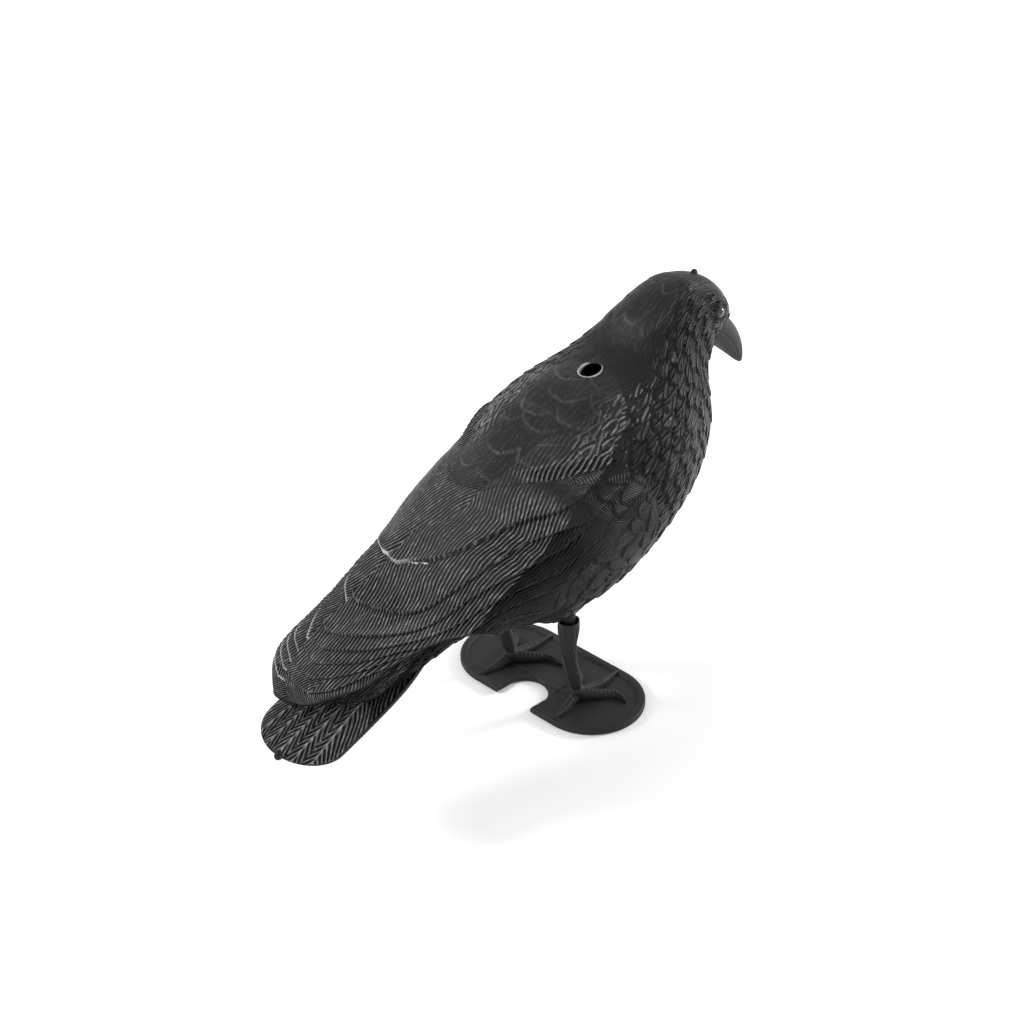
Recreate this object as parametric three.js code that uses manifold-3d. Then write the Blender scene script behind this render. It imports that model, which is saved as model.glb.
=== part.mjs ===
// A crow decoy: a hollow moulded bird on a moulded stand. Millimetres, +Z up, the bird faces +X and
// +Y is its left. The origin is the middle of the stand plate's straight front part, on the ground.

import * as THREE from 'three';
import { mergeVertices } from 'three/addons/utils/BufferGeometryUtils.js';
import { ParametricGeometry } from 'three/addons/geometries/ParametricGeometry.js';
import Module from 'manifold-3d';

const wasm = await Module();
wasm.setup();

// Driving sizes of the bird
const birdLength = 388;
const bodyPitch = 31;
const wall = 2.2;
const fillHoleDiameter = 13.5;
const fillHoleAlong = 107;
const eyeDiameter = 7.5;
const featherLift = 2;

// Driving sizes of the stand
const plateLength = 131.6;
const plateWidth = 67.4;
const plateThickness = 4;
const plateFloor = 2.6;
const plateBevel = 1.2;
const rimWidth = 5;
const notchWidth = 28;
const notchDepth = 24.5;
const legSpacing = 56;
const footSetback = 7;
const cuffSetback = 16;
const legHeight = 65.5;
const cuffDiameter = 13;
const cuffBore = 11;
const cuffDepth = 11;
const shankDiameter = 8.2;
const toeDiameter = 6.4;
const ribWidth = 2;
const ribHeight = 0.9;

// The fit between the bird's two pegs and the cuffs of the legs
const pegClearance = 1.3;
const seatGap = 0.3;

// The figure's pose and proportions are shares of its length, written in units of 1/388 of it.
const unit = birdLength / 388;
const pitch = THREE.MathUtils.degToRad(bodyPitch);

// Cubic through rows of [place, value, ...]; returns the value of one column at a place.
function through(rows, column, place) {
  const last = rows.length - 1;
  const x = Math.min(Math.max(place, rows[0][0]), rows[last][0]);
  let i = 0;
  while (i < last - 1 && x > rows[i + 1][0]) i += 1;
  const step = (k) => rows[k + 1][0] - rows[k][0];
  const rise = (k) => (rows[k + 1][column] - rows[k][column]) / step(k);
  const slope = (k) => {
    if (k === 0) return rise(0);
    if (k === last) return rise(last - 1);
    return (rise(k - 1) * step(k) + rise(k) * step(k - 1)) / (step(k - 1) + step(k));
  };
  const h = step(i);
  const t = (x - rows[i][0]) / h;
  return (2 * t ** 3 - 3 * t ** 2 + 1) * rows[i][column] + (t ** 3 - 2 * t ** 2 + t) * h * slope(i)
    + (-2 * t ** 3 + 3 * t ** 2) * rows[i + 1][column] + (t ** 3 - t ** 2) * h * slope(i + 1);
}

// A quarter-round rise from 0 to 1 over a share of the way, for ends that close to a point.
function roundedEnd(t) {
  const c = Math.min(Math.max(t, 0), 1);
  return Math.sqrt(1 - (1 - c) ** 2);
}

function superPower(value, exponent) {
  return Math.sign(value) * Math.abs(value) ** (2 / exponent);
}

// A point of the bird: along its back line, across, and above the seat between the two cuffs.
function birdPoint(along, across, above, target = new THREE.Vector3()) {
  const x = along * Math.cos(pitch) - above * Math.sin(pitch);
  const z = along * Math.sin(pitch) + above * Math.cos(pitch);
  return target.set(x * unit - cuffSetback, across * unit, z * unit + legHeight);
}

// Turns a closed three.js geometry into a solid that can be joined and cut.
function solid(geometry) {
  const bare = geometry.index ? geometry.toNonIndexed() : geometry.clone();
  for (const name of Object.keys(bare.attributes)) {
    if (name !== 'position') bare.deleteAttribute(name);
  }
  const merged = mergeVertices(bare, 1e-4);
  const index = merged.index.array;
  const kept = [];
  for (let i = 0; i < index.length; i += 3) {
    const [a, b, c] = [index[i], index[i + 1], index[i + 2]];
    if (a !== b && b !== c && c !== a) kept.push(a, b, c);
  }
  const mesh = new wasm.Mesh({
    numProp: 3,
    vertProperties: Float32Array.from(merged.attributes.position.array),
    triVerts: Uint32Array.from(kept),
  });
  const body = new wasm.Manifold(mesh);
  if (body.volume() >= 0) return body;
  for (let i = 0; i < kept.length; i += 3) [kept[i + 1], kept[i + 2]] = [kept[i + 2], kept[i + 1]];
  return new wasm.Manifold(new wasm.Mesh({
    numProp: 3,
    vertProperties: Float32Array.from(merged.attributes.position.array),
    triVerts: Uint32Array.from(kept),
  }));
}

// A joined form without the pockets that lie closed in between its members.
function withoutPockets(form) {
  return form.decompose().filter((part) => part.volume() > 0).reduce((sum, part) => sum.add(part));
}

// A closed skin: rings of points along a path, each end drawn together into one point.
function skin(place, alongSteps, aroundSteps) {
  const surface = (u, v, target) => place(v, u === 1 ? 0 : u, target);
  return solid(new ParametricGeometry(surface, aroundSteps, alongSteps));
}

// The torso and head as one form. Each row: order, along, level, half width, rise, drop.
const torsoRows = [
  [0, -131, 95, 20, 8, 5],
  [1, -92, 86, 25, 14, 10],
  [2, -50, 76, 34, 26, 13],
  [3, -4, 60, 50, 42, 42],
  [4, 44, 54, 61, 45, 60],
  [5, 90, 51, 62, 47, 61],
  [6, 130, 54, 48, 34, 61],
  [7, 161, 58, 31, 36, 40],
  [8, 181, 55, 24, 34, 25],
  [9, 192, 48, 19, 21, 21],
  [10, 201, 27, 9, 11, 13],
];
const upperRoundness = 2.3;
const lowerRoundness = 2.4;

function torsoPoint(order, angle, inset, target) {
  const at = (column, k = order) => through(torsoRows, column, k);
  const near = 0.01;
  const ds = at(1, order + near) - at(1, order - near);
  const dq = at(2, order + near) - at(2, order - near);
  const length = Math.hypot(ds, dq);
  const last = torsoRows.length - 1;
  const cap = roundedEnd(order / 0.7) * roundedEnd((last - order) / 0.5);
  const up = Math.sin(angle) > 0;
  const exponent = up ? upperRoundness : lowerRoundness;
  const width = Math.max(at(3) - inset, 1) * cap;
  const height = Math.max(at(up ? 4 : 5) - inset, 1) * cap;
  const across = width * superPower(Math.cos(angle), exponent);
  const n = height * superPower(Math.sin(angle), exponent);
  return birdPoint(at(1) - (dq / length) * n, across, at(2) + (ds / length) * n, target);
}

function torso() {
  const last = torsoRows.length - 1;
  return skin((v, u, t) => torsoPoint(v * last, u * 2 * Math.PI, 0, t), 26, 24);
}

// The hollow inside the torso and head, one wall in from the outside.
function hollow() {
  const last = torsoRows.length - 1;
  const from = 0.8;
  const to = last - 1.2;
  const place = (v, u, target) => {
    const order = from + (to - from) * v;
    const close = roundedEnd(v / 0.1) * roundedEnd((1 - v) / 0.1);
    const inner = torsoPoint(order, u * 2 * Math.PI, wall / unit, target);
    const middle = birdPoint(through(torsoRows, 1, order), 0, through(torsoRows, 2, order));
    return inner.lerp(middle, 1 - close);
  };
  return skin(place, 14, 14);
}

// The folded wings. Each row: along, level, half width, rise, drop, drift to the left, angle of the
// inner edge, angle of the lower edge, squareness, thickness.
const wingRows = [
  [-143, 102, 24, 8, 5, 11, 118, 40, 2.6, 8],
  [-132, 103, 30, 11, 6, 11, 116, 38, 2.8, 10],
  [-118, 102, 33, 16, 8, 8, 112, 18, 3.0, 11],
  [-98, 94, 37, 25, 3, 3, 104, 26, 3.1, 11],
  [-72, 77, 46, 33, 2, 1, 98, 34, 3.0, 11],
  [-40, 73, 47, 33, 22, 0, 95, -14, 2.7, 8],
  [-4, 60, 56, 46, 36, 0, 94, -34, 2.5, 7],
  [40, 54, 63, 48, 57, 0, 92, -26, 2.4, 6],
  [70, 53, 63.5, 47, 61, 0, 84, -4, 2.35, 5],
  [88, 52, 55, 38, 54, 0, 76, 12, 2.3, 5],
];
const wingEdge = 3;
const wingMiddle = 58;
const wingTipMiddle = 84;
const wingTipRound = 22;
const wingFrontRound = 26;

// A point of the wings' outer surface, at an angle round the bird; lift is its height above it.
function wingSurface(along, angle, side, lift, target) {
  const at = (column) => through(wingRows, column, along);
  const exponent = angle > 0 ? at(8) : lowerRoundness;
  const height = (angle > 0 ? at(3) : at(4)) + lift;
  const across = at(5) + side * (at(2) + lift) * superPower(Math.cos(angle), exponent);
  return birdPoint(along, across, at(1) + height * superPower(Math.sin(angle), exponent), target);
}

// The edges of a wing at a place along it, as angles in radians.
function wingEdges(along) {
  const first = wingRows[0][0];
  const last = wingRows[wingRows.length - 1][0];
  const open = roundedEnd((along - first) / wingTipRound) * roundedEnd((last - along) / wingFrontRound);
  const middle = THREE.MathUtils.degToRad(along < 0 ? wingTipMiddle : wingMiddle);
  const inner = THREE.MathUtils.degToRad(through(wingRows, 6, along));
  const lower = THREE.MathUtils.degToRad(through(wingRows, 7, along));
  return { open, inner: middle + (inner - middle) * open, lower: middle + (lower - middle) * open };
}

// How far a wing lies on the torso at a place along it: 0 where its tip stands free, 1 in front.
function solidity(along) {
  return Math.min(Math.max((along + 98) / 40, 0), 1);
}

// The hollow inside a wing, one wall in from the outside. It opens into the body's hollow in front.
const coreMargin = 8;
const coreShare = 0.9;

function wingCore(side) {
  const first = wingRows[0][0] + coreMargin;
  const last = wingRows[wingRows.length - 1][0] - coreMargin;
  const place = (v, u, target) => {
    const along = first + (last - first) * v;
    const open = roundedEnd(v / 0.1) * roundedEnd((1 - v) / 0.1);
    const edges = wingEdges(along);
    const middle = (edges.inner + edges.lower) / 2;
    const outside = u <= 0.5;
    const b = outside ? u / 0.5 : (1 - u) / 0.5;
    const angle = middle + (edges.inner - middle) * coreShare * open * (1 - 2 * b);
    const point = wingSurface(along, angle, side, -wall / unit, target);
    if (outside) return point;
    const deep = Math.min(Math.max((along + 25) / 15, 0), 1);
    const thick = Math.max(through(wingRows, 9, along) - (2 * wall) / unit, 1) + 7 * deep;
    const up = birdPoint(0, 0, 1).sub(birdPoint(0, 0, 0)).normalize();
    const out = new THREE.Vector3(0, side, 0);
    const under = point.clone();
    under.addScaledVector(up, -thick * unit * Math.max(Math.sin(angle), 0.2));
    under.addScaledVector(out, -thick * unit * Math.max(Math.cos(angle), 0) * solidity(along));
    return point.lerp(under, open);
  };
  return skin(place, 10, 10);
}

function wing(side) {
  const first = wingRows[0][0];
  const last = wingRows[wingRows.length - 1][0];
  const place = (v, u, target) => {
    const along = first + (last - first) * v ** 1.5;
    const { open, inner, lower } = wingEdges(along);
    const outside = u <= 0.5;
    const b = outside ? u / 0.5 : (1 - u) / 0.5;
    const angle = inner + (lower - inner) * b;
    const point = wingSurface(along, angle, side, 0, target);
    if (outside) return point;
    const thick = wingEdge + (through(wingRows, 9, along) - wingEdge) * (1 - (2 * b - 1) ** 4);
    const inward = angle + (THREE.MathUtils.degToRad(wingMiddle) - angle) * 0.06;
    const under = wingSurface(along, inward, side, 0, new THREE.Vector3());
    const up = birdPoint(0, 0, 1).sub(birdPoint(0, 0, 0)).normalize();
    const out = new THREE.Vector3(0, side, 0);
    under.addScaledVector(up, -thick * unit * Math.max(Math.sin(angle), 0.2));
    under.addScaledVector(out, -thick * unit * Math.max(Math.cos(angle), 0) * solidity(along));
    return point.lerp(under, open);
  };
  return skin(place, 18, 14);
}

// One long feather lying on the wings: from its root to its tip, each given as along and angle.
function wingFeather(side, root, tip, halfWidth, lift) {
  const place = (v, u, target) => {
    const along = root[0] + (tip[0] - root[0]) * v;
    const angle = THREE.MathUtils.degToRad(root[1] + (tip[1] - root[1]) * v);
    const half = (halfWidth * roundedEnd((1 - v) / 0.22) * roundedEnd(v / 0.3)) / 50;
    const outside = u <= 0.5;
    const b = outside ? -1 + 4 * u : 3 - 4 * u;
    const crown = lift * Math.min(4 * v - 2.2, 1) * (1 - 0.3 * b * b);
    const close = roundedEnd(v / 0.08) * roundedEnd((1 - v) / 0.06);
    return wingSurface(along, angle + half * b, side, (outside ? crown : -1.2) * close, target);
  };
  return skin(place, 6, 6);
}

// The long feathers that show from a step away, on each wing from the back down to the flank.
const longFeathers = [
  { root: [52, 56], tip: [-46, 84], half: 18 },
  { root: [36, 24], tip: [-94, 58], half: 12 },
  { root: [44, -2], tip: [-62, 40], half: 12 },
];

// The stepped ends of the flight feathers at the wing's tip.
const flightCount = 3;
const flightStep = 13;

function wingFeathers(side) {
  const feathers = longFeathers.map(({ root, tip, half }) => (
    wingFeather(side, root, tip, half, featherLift / unit)
  ));
  for (let i = 0; i < flightCount; i += 1) {
    const tip = [-136 + flightStep * i, 70 - 3 * i];
    feathers.push(wingFeather(side, [tip[0] + 66, tip[1] - 6], tip, 14, (featherLift * 0.8) / unit));
  }
  return feathers;
}

// The tail: a thin fan, arched across. Each row: share of its length, half width, level, thickness.
const tailRows = [
  [0, 17, 77, 8],
  [0.35, 27, 86, 8.5],
  [0.64, 29, 93, 7.5],
  [1, 29, 101, 4],
];
const tailRoot = -58;
const tailEnd = -170;
const tailArch = 0.0033;
const tailRound = 20;
const tailFeatherCount = 7;

function tailPoint(share, across, lift, target) {
  const along = tailRoot + (tailEnd - tailRoot) * share;
  return birdPoint(along, across, through(tailRows, 2, share) - tailArch * across ** 2 + lift, target);
}

function tail() {
  const length = Math.abs(tailEnd - tailRoot);
  const place = (v, u, target) => {
    const share = Math.sin((v * Math.PI) / 2);
    const close = roundedEnd(((1 - share) * length) / tailRound) * roundedEnd(share / 0.2);
    const angle = u * 2 * Math.PI;
    const across = through(tailRows, 1, share) * close * superPower(Math.cos(angle), 3);
    const thick = through(tailRows, 3, share) * close * superPower(Math.sin(angle), 3);
    return tailPoint(share, across, Math.min(thick, 0) - 0.4 + Math.max(thick, 0) * 0.1, target);
  };
  return skin(place, 10, 16);
}

// The hollow inside the tail, open to the body's hollow at its root.
function tailCore() {
  const place = (v, u, target) => {
    const share = 0.02 + 0.84 * v;
    const close = roundedEnd((1 - v) / 0.1) * roundedEnd(v / 0.06);
    const angle = u * 2 * Math.PI;
    const half = through(tailRows, 1, share) - (2 * wall) / unit;
    const thick = Math.max(through(tailRows, 3, share) / 2 - wall / unit, 0.6);
    const middle = -through(tailRows, 3, share) / 2 - 0.4;
    const lift = middle + thick * close * superPower(Math.sin(angle), 3);
    return tailPoint(share, half * close * superPower(Math.cos(angle), 3), lift, target);
  };
  return skin(place, 6, 10);
}

function tailFeather(k) {
  const spread = (k / (tailFeatherCount - 1)) * 2 - 1;
  const reach = 0.985 - 0.085 * spread ** 2;
  const place = (v, u, target) => {
    const share = 0.1 + (reach - 0.1) * v;
    const centre = spread * (14 + 9 * v);
    const half = 5.2 * roundedEnd((1 - v) / 0.12) * roundedEnd(v / 0.2);
    const outside = u <= 0.5;
    const b = outside ? -1 + 4 * u : 3 - 4 * u;
    const crown = (0.7 * featherLift / unit) * (1 - 0.75 * Math.abs(b) ** 1.5);
    const close = roundedEnd(v / 0.08) * roundedEnd((1 - v) / 0.06);
    return tailPoint(share, centre + half * b, (outside ? crown : -1.6) * close, target);
  };
  return skin(place, 6, 6);
}

// The bill: base and tip as along and above, with a curved upper line and a slightly hooked end.
const billBase = [198, 33];
const billTip = [210.6, -19.2];
const billHalfHeight = 10.6;
const billHalfWidth = 9;

function bill() {
  const axis = new THREE.Vector2(billTip[0] - billBase[0], billTip[1] - billBase[1]);
  const length = axis.length();
  axis.normalize();
  const place = (v, u, target) => {
    const angle = u * 2 * Math.PI;
    const taper = roundedEnd(v / 0.04) * Math.max(1 - v ** 1.9, 0) ** 0.6;
    const across = billHalfWidth * taper * (1 - 0.35 * v) * Math.cos(angle);
    const curve = 0.045 * length * Math.sin(Math.PI * v) - 1.2 * v ** 6;
    const n = billHalfHeight * taper * Math.sin(angle) + curve;
    const along = billBase[0] + axis.x * length * v - axis.y * n;
    const above = billBase[1] + axis.y * length * v + axis.x * n;
    return birdPoint(along, across, above, target);
  };
  return skin(place, 10, 12);
}

const eyePlace = [188.5, 15.6, 56];

function eye(side) {
  const ball = new THREE.SphereGeometry(eyeDiameter / 2, 12, 8);
  const centre = birdPoint(eyePlace[0], side * eyePlace[1], eyePlace[2]);
  ball.translate(centre.x, centre.y, centre.z);
  return solid(ball);
}

// The raised marks that the mould's parting line leaves at the crown and at the tail's end.
function mouldNub(along, above, size) {
  const nub = new THREE.SphereGeometry(size * unit, 8, 6);
  nub.scale(1, 0.7, 1);
  const centre = birdPoint(along, 0, above);
  nub.translate(centre.x, centre.y, centre.z);
  return solid(nub);
}

// A thigh: a feathered lobe under the belly round the leg. The peg below it fits the cuff.
const thighBack = 6;
const thighInward = 1;
const thighRise = 24.7;
const thighHalf = [29, 14.5, 20];

function thigh(side) {
  const lobe = new THREE.SphereGeometry(1, 16, 12);
  lobe.scale(thighHalf[0] * unit, thighHalf[1] * unit, thighHalf[2] * unit);
  const y = side * (legSpacing / 2 - thighInward * unit);
  lobe.translate(-cuffSetback - thighBack * unit, y, legHeight + seatGap + thighRise * unit);
  return solid(lobe);
}

function peg(side) {
  const reach = cuffDepth - seatGap;
  const radius = cuffBore / 2 - pegClearance;
  const height = reach + seatGap + 24 * unit;
  const rod = new THREE.CylinderGeometry(radius, radius * 0.92, height, 16);
  rod.rotateX(Math.PI / 2);
  rod.translate(-cuffSetback, (side * legSpacing) / 2, legHeight - reach + height / 2);
  return solid(rod);
}

// The hole in the upper back opens into the hollow.
function fillHole() {
  const bore = new THREE.CylinderGeometry(fillHoleDiameter / 2, fillHoleDiameter / 2, 60 * unit, 24);
  bore.rotateX(Math.PI / 2);
  bore.rotateY(-pitch);
  const centre = birdPoint(fillHoleAlong, 0, 91);
  bore.translate(centre.x, centre.y, centre.z);
  return solid(bore);
}

function birdGeometry() {
  const forms = [
    torso(), tail(), bill(), eye(1), eye(-1), wing(1), wing(-1),
    thigh(1), thigh(-1), peg(1), peg(-1), mouldNub(200, 74.5, 2.6), mouldNub(-169, 98.5, 3),
  ];
  for (const side of [1, -1]) forms.push(...wingFeathers(side));
  for (let k = 0; k < tailFeatherCount; k += 1) forms.push(tailFeather(k));
  const whole = withoutPockets(forms.reduce((sum, form) => sum.add(form)));
  const empty = [wingCore(1), wingCore(-1), tailCore(), fillHole()];
  return fromSolid(whole.subtract(empty.reduce((sum, form) => sum.add(form), hollow())));
}

// The stand plate's outline: straight long sides, round ends and one U-shaped notch in the rear.
function plateShape(inset, withNotch) {
  const r = plateWidth / 2 - inset;
  const straight = plateLength / 2 - plateWidth / 2;
  const shape = new THREE.Shape();
  shape.moveTo(r, -straight);
  shape.lineTo(r, straight);
  shape.absarc(0, straight, r, 0, Math.PI, false);
  if (withNotch) {
    const n = notchWidth / 2;
    const deep = -plateWidth / 2 + notchDepth - n;
    shape.lineTo(-r, n);
    shape.lineTo(deep, n);
    shape.absarc(deep, 0, n, Math.PI / 2, -Math.PI / 2, true);
    shape.lineTo(-r, -n);
  }
  shape.lineTo(-r, -straight);
  shape.absarc(0, -straight, r, Math.PI, 2 * Math.PI, false);
  return shape;
}

function plate() {
  const flat = new THREE.ExtrudeGeometry(plateShape(plateBevel, true), {
    depth: plateThickness - plateBevel,
    curveSegments: 14,
    bevelEnabled: true,
    bevelThickness: plateBevel,
    bevelSize: plateBevel,
    bevelSegments: 2,
  });
  const cutBelow = new THREE.BoxGeometry(plateWidth * 2, plateLength * 2, plateThickness * 2);
  cutBelow.translate(0, 0, -plateThickness);
  const pocket = new THREE.ExtrudeGeometry(plateShape(rimWidth, false), {
    depth: plateThickness,
    curveSegments: 14,
    bevelEnabled: false,
  });
  pocket.translate(0, 0, plateFloor);
  return solid(flat).subtract(solid(cutBelow)).subtract(solid(pocket));
}

// A limb: a tube along points on a smooth curve, each with its half width and half height.
function limb(points, steps, sides) {
  const curve = new THREE.CatmullRomCurve3(points.map((p) => new THREE.Vector3(p[0], p[1], p[2])));
  const sizes = points.map((p, i) => [i / (points.length - 1), p[3], p[4]]);
  const place = (v, u, target) => {
    const centre = curve.getPoint(v);
    const ahead = curve.getTangent(v);
    const across = new THREE.Vector3(0, 0, 1).cross(ahead);
    if (across.length() < 0.35) across.set(0, 1, 0);
    across.normalize();
    const up = new THREE.Vector3().crossVectors(ahead, across).normalize();
    const close = roundedEnd(v / 0.04) * roundedEnd((1 - v) / 0.08);
    const angle = u * 2 * Math.PI;
    return target.copy(centre)
      .addScaledVector(across, through(sizes, 1, v) * close * Math.cos(angle))
      .addScaledVector(up, through(sizes, 2, v) * close * Math.sin(angle));
  };
  return skin(place, steps, sides);
}

// A leg leans back from its foot, then stands up to its cuff; a thin keel runs down its back.
// Each row: share of the height, radius.
const legSteps = 11;
const legRows = [
  [0, shankDiameter * 0.3],
  [0.15, shankDiameter * 0.44],
  [0.45, shankDiameter * 0.44],
  [0.7, shankDiameter * 0.6],
  [0.92, cuffDiameter / 2],
  [1, cuffDiameter / 2],
];
const keelDepth = 0.7;
const hubHeight = 10;
const legFoot = plateFloor + hubHeight * 0.5;

function leg(side) {
  const y = (side * legSpacing) / 2;
  const place = (v, u, target) => {
    const angle = u * 2 * Math.PI;
    const rise = Math.min(Math.max((v * legSteps - 1) / (legSteps - 2), 0), 1);
    const radius = through(legRows, 1, rise);
    const fin = Math.max(-Math.cos(angle), 0) ** 6 * Math.sin(Math.PI * Math.min(rise / 0.95, 1)) ** 2;
    const keel = 1 + keelDepth * (fin + 0.2 * Math.max(Math.cos(angle), 0) ** 6);
    const open = v === 0 || v === 1 ? 0 : 1;
    const lean = (cuffSetback - footSetback) * Math.min(rise / 0.7, 1);
    const x = -footSetback - lean + radius * keel * Math.cos(angle) * open;
    const z = legFoot + (legHeight - legFoot) * rise;
    return target.set(x, y + radius * Math.sin(angle) * open, z);
  };
  return skin(place, legSteps, 12);
}

function cuffMouth(side) {
  const depth = cuffDepth * 2;
  const bore = new THREE.CylinderGeometry(cuffBore / 2, cuffBore / 2, depth, 20);
  bore.rotateX(Math.PI / 2);
  bore.translate(-cuffSetback, (side * legSpacing) / 2, legHeight);
  return solid(bore);
}

// The toes of one foot: the ends of their scaly part and of their claw, forward and outward of the
// leg. They spread from a raised hub that the leg stands on.
const toes = [
  { joint: [-14, 2], claw: [-26, 3.5] },
  { joint: [18, -15], claw: [19, -27] },
  { joint: [21, 0.5], claw: [39, -0.5] },
  { joint: [19, 14.5], claw: [18, 24] },
];

function foot(side) {
  const y = (side * legSpacing) / 2;
  const r = toeDiameter / 2;
  const top = plateFloor + hubHeight;
  return toes.map(({ joint, claw }) => {
    const at = ([ahead, out], share) => [ahead * share - footSetback, y + side * out * share];
    return limb([
      [...at(joint, -0.12), plateFloor + hubHeight * 0.5, r * 1.05, hubHeight * 0.5],
      [...at(joint, 0.5), plateFloor + hubHeight * 0.26, r * 0.9, hubHeight * 0.36],
      [...at(joint, 1), plateFloor + 0.6, r * 0.8, r],
      [...at(claw, 1), plateThickness - 0.3, 0.8, 1.2],
    ], 6, 6);
  }).concat([solid(new THREE.SphereGeometry(r * 1.4, 10, 7).translate(-footSetback, y, top - r))]);
}

// The low rib that crosses the plate between the two feet.
function plateRib() {
  const rib = new THREE.BoxGeometry(ribWidth, legSpacing, ribHeight + 1);
  rib.translate(-footSetback, 0, plateFloor + (ribHeight - 1) / 2);
  return solid(rib);
}

function standGeometry() {
  const forms = [plate(), plateRib()];
  for (const side of [1, -1]) forms.push(leg(side), ...foot(side));
  const whole = forms.reduce((sum, form) => sum.add(form));
  const ground = new THREE.BoxGeometry(plateWidth * 4, plateLength * 4, plateThickness * 4);
  ground.translate(0, 0, -plateThickness * 2);
  const cut = whole.subtract(solid(ground));
  return fromSolid(cut.subtract(cuffMouth(1)).subtract(cuffMouth(-1)));
}

function fromSolid(body) {
  const mesh = body.getMesh();
  const geometry = new THREE.BufferGeometry();
  const positions = new Float32Array(mesh.numVert * 3);
  for (let i = 0; i < mesh.numVert; i += 1) {
    for (let k = 0; k < 3; k += 1) positions[3 * i + k] = mesh.vertProperties[mesh.numProp * i + k];
  }
  geometry.setAttribute('position', new THREE.BufferAttribute(positions, 3));
  geometry.setIndex(new THREE.BufferAttribute(Uint32Array.from(mesh.triVerts), 1));
  geometry.computeVertexNormals();
  return geometry;
}

function piece(name, geometry, material) {
  const mesh = new THREE.Mesh(geometry, material);
  mesh.name = name;
  return mesh;
}

const satinBlack = new THREE.MeshStandardMaterial({ color: 0x242526, roughness: 0.45, metalness: 0 });
const mattBlack = new THREE.MeshStandardMaterial({ color: 0x2c2c2b, roughness: 0.6, metalness: 0 });

const decoy = new THREE.Group();
decoy.add(piece('bird', birdGeometry(), satinBlack));
decoy.add(piece('stand', standGeometry(), mattBlack));

export default decoy;
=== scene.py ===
import math
from collections import namedtuple

import bpy
import numpy as np
from bpy.props import FloatProperty, FloatVectorProperty, PointerProperty
from bpy.types import Operator, Panel, PropertyGroup
from mathutils import Matrix, Vector


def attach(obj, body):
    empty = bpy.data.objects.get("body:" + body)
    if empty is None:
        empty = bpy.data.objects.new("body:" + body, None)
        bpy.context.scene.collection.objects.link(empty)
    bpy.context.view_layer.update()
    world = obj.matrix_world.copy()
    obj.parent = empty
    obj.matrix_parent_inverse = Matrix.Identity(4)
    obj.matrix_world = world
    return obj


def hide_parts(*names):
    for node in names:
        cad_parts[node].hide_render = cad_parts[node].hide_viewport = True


bl_info = {
    "name": "Crow Decoy",
    "version": (1, 0, 0),
    "blender": (4, 5, 0),
    "location": "View3D > Sidebar > Crow Decoy",
    "description": "Builds the feathered skin, the stand and the stage of a moulded crow decoy",
    "category": "Add Mesh",
}

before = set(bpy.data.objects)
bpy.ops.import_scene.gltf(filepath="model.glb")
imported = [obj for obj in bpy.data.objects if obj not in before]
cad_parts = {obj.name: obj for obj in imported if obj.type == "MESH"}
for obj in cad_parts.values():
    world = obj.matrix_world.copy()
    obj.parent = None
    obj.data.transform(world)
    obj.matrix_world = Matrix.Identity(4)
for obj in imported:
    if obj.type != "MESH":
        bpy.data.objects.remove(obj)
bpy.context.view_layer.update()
MM = 0.001

# Lengths in millimetres that are the same as in the solids. The bird has its own directions:
# along its back line, across it and above the cuffs, turned by the pitch.
PITCH = math.radians(31)
CUFF_BACK, CUFF_OUTER, CUFF_INNER = 16.0, 6.5, 5.5
LEG_HEIGHT, LEG_SPACING, FOOT_BACK = 65.5, 56.0, 7.0
PEG_REACH, PEG_RADIUS = 10.7, 4.2

# Where the hole, the pit beside it and the eyes lie, as along, across and above
HOLE = (111.0, 2.6, 91.0)
PIT = (116.5, -7.0, 97.6)
EYE_ALONG, EYE_ACROSS, EYE_ABOVE = 194.2, 18.6, 57.2

# The height of the crown in metres, and how softly the skin is held under it; the length in
# millimetres that each ring of the body counts as, so that its feathers run on along it
CROWN, CROWN_EASE = 0.2386, 0.0008
BODY_ROUND = 288.0

# Order, along, level, half width, rise, drop
TORSO = np.array([
    [0, -131, 95, 20, 8, 5],
    [1, -92, 86, 25, 14, 10],
    [2, -50, 76, 34, 26, 13],
    [3, -4, 60, 50, 42, 42],
    [4, 44, 54, 61, 45, 60],
    [5, 90, 51, 62, 47, 61],
    [6, 130, 54, 48, 34, 61],
    [7, 161, 58, 31, 36, 40],
    [8, 181, 55, 24, 34, 25],
    [9, 192, 48, 19, 21, 21],
    [10, 201, 27, 9, 11, 13],
], float)

# Along, level, half width, rise, drop, drift, inner edge, lower edge, squareness, thickness
WING = np.array([
    [-143, 102, 24, 8, 5, 11, 118, 40, 2.6, 8],
    [-132, 103, 30, 11, 6, 11, 116, 38, 2.8, 10],
    [-118, 102, 33, 16, 8, 8, 112, 18, 3.0, 11],
    [-98, 94, 37, 25, 3, 3, 104, 26, 3.1, 11],
    [-72, 77, 46, 33, 2, 1, 98, 34, 3.0, 11],
    [-40, 73, 47, 33, 22, 0, 95, -14, 2.7, 8],
    [-4, 60, 56, 46, 36, 0, 94, -34, 2.5, 7],
    [40, 54, 63, 48, 57, 0, 92, -26, 2.4, 6],
    [70, 53, 63.5, 47, 61, 0, 84, -4, 2.35, 5],
    [88, 52, 55, 38, 54, 0, 76, 12, 2.3, 5],
], float)
WING_FRONT = 88.0

# The angles in degrees about which a wing's edges close behind the bird's middle and before it
REAR_MIDDLE, FRONT_MIDDLE = 84.0, 58.0

# Share of the length, half width, level, thickness
TAIL = np.array([
    [0, 17, 77, 8],
    [0.35, 27, 86, 8.5],
    [0.64, 29, 93, 7.5],
    [1, 29, 101, 4],
], float)
TAIL_ROOT, TAIL_END, TAIL_ARCH = -58.0, -170.0, 0.0033

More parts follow.
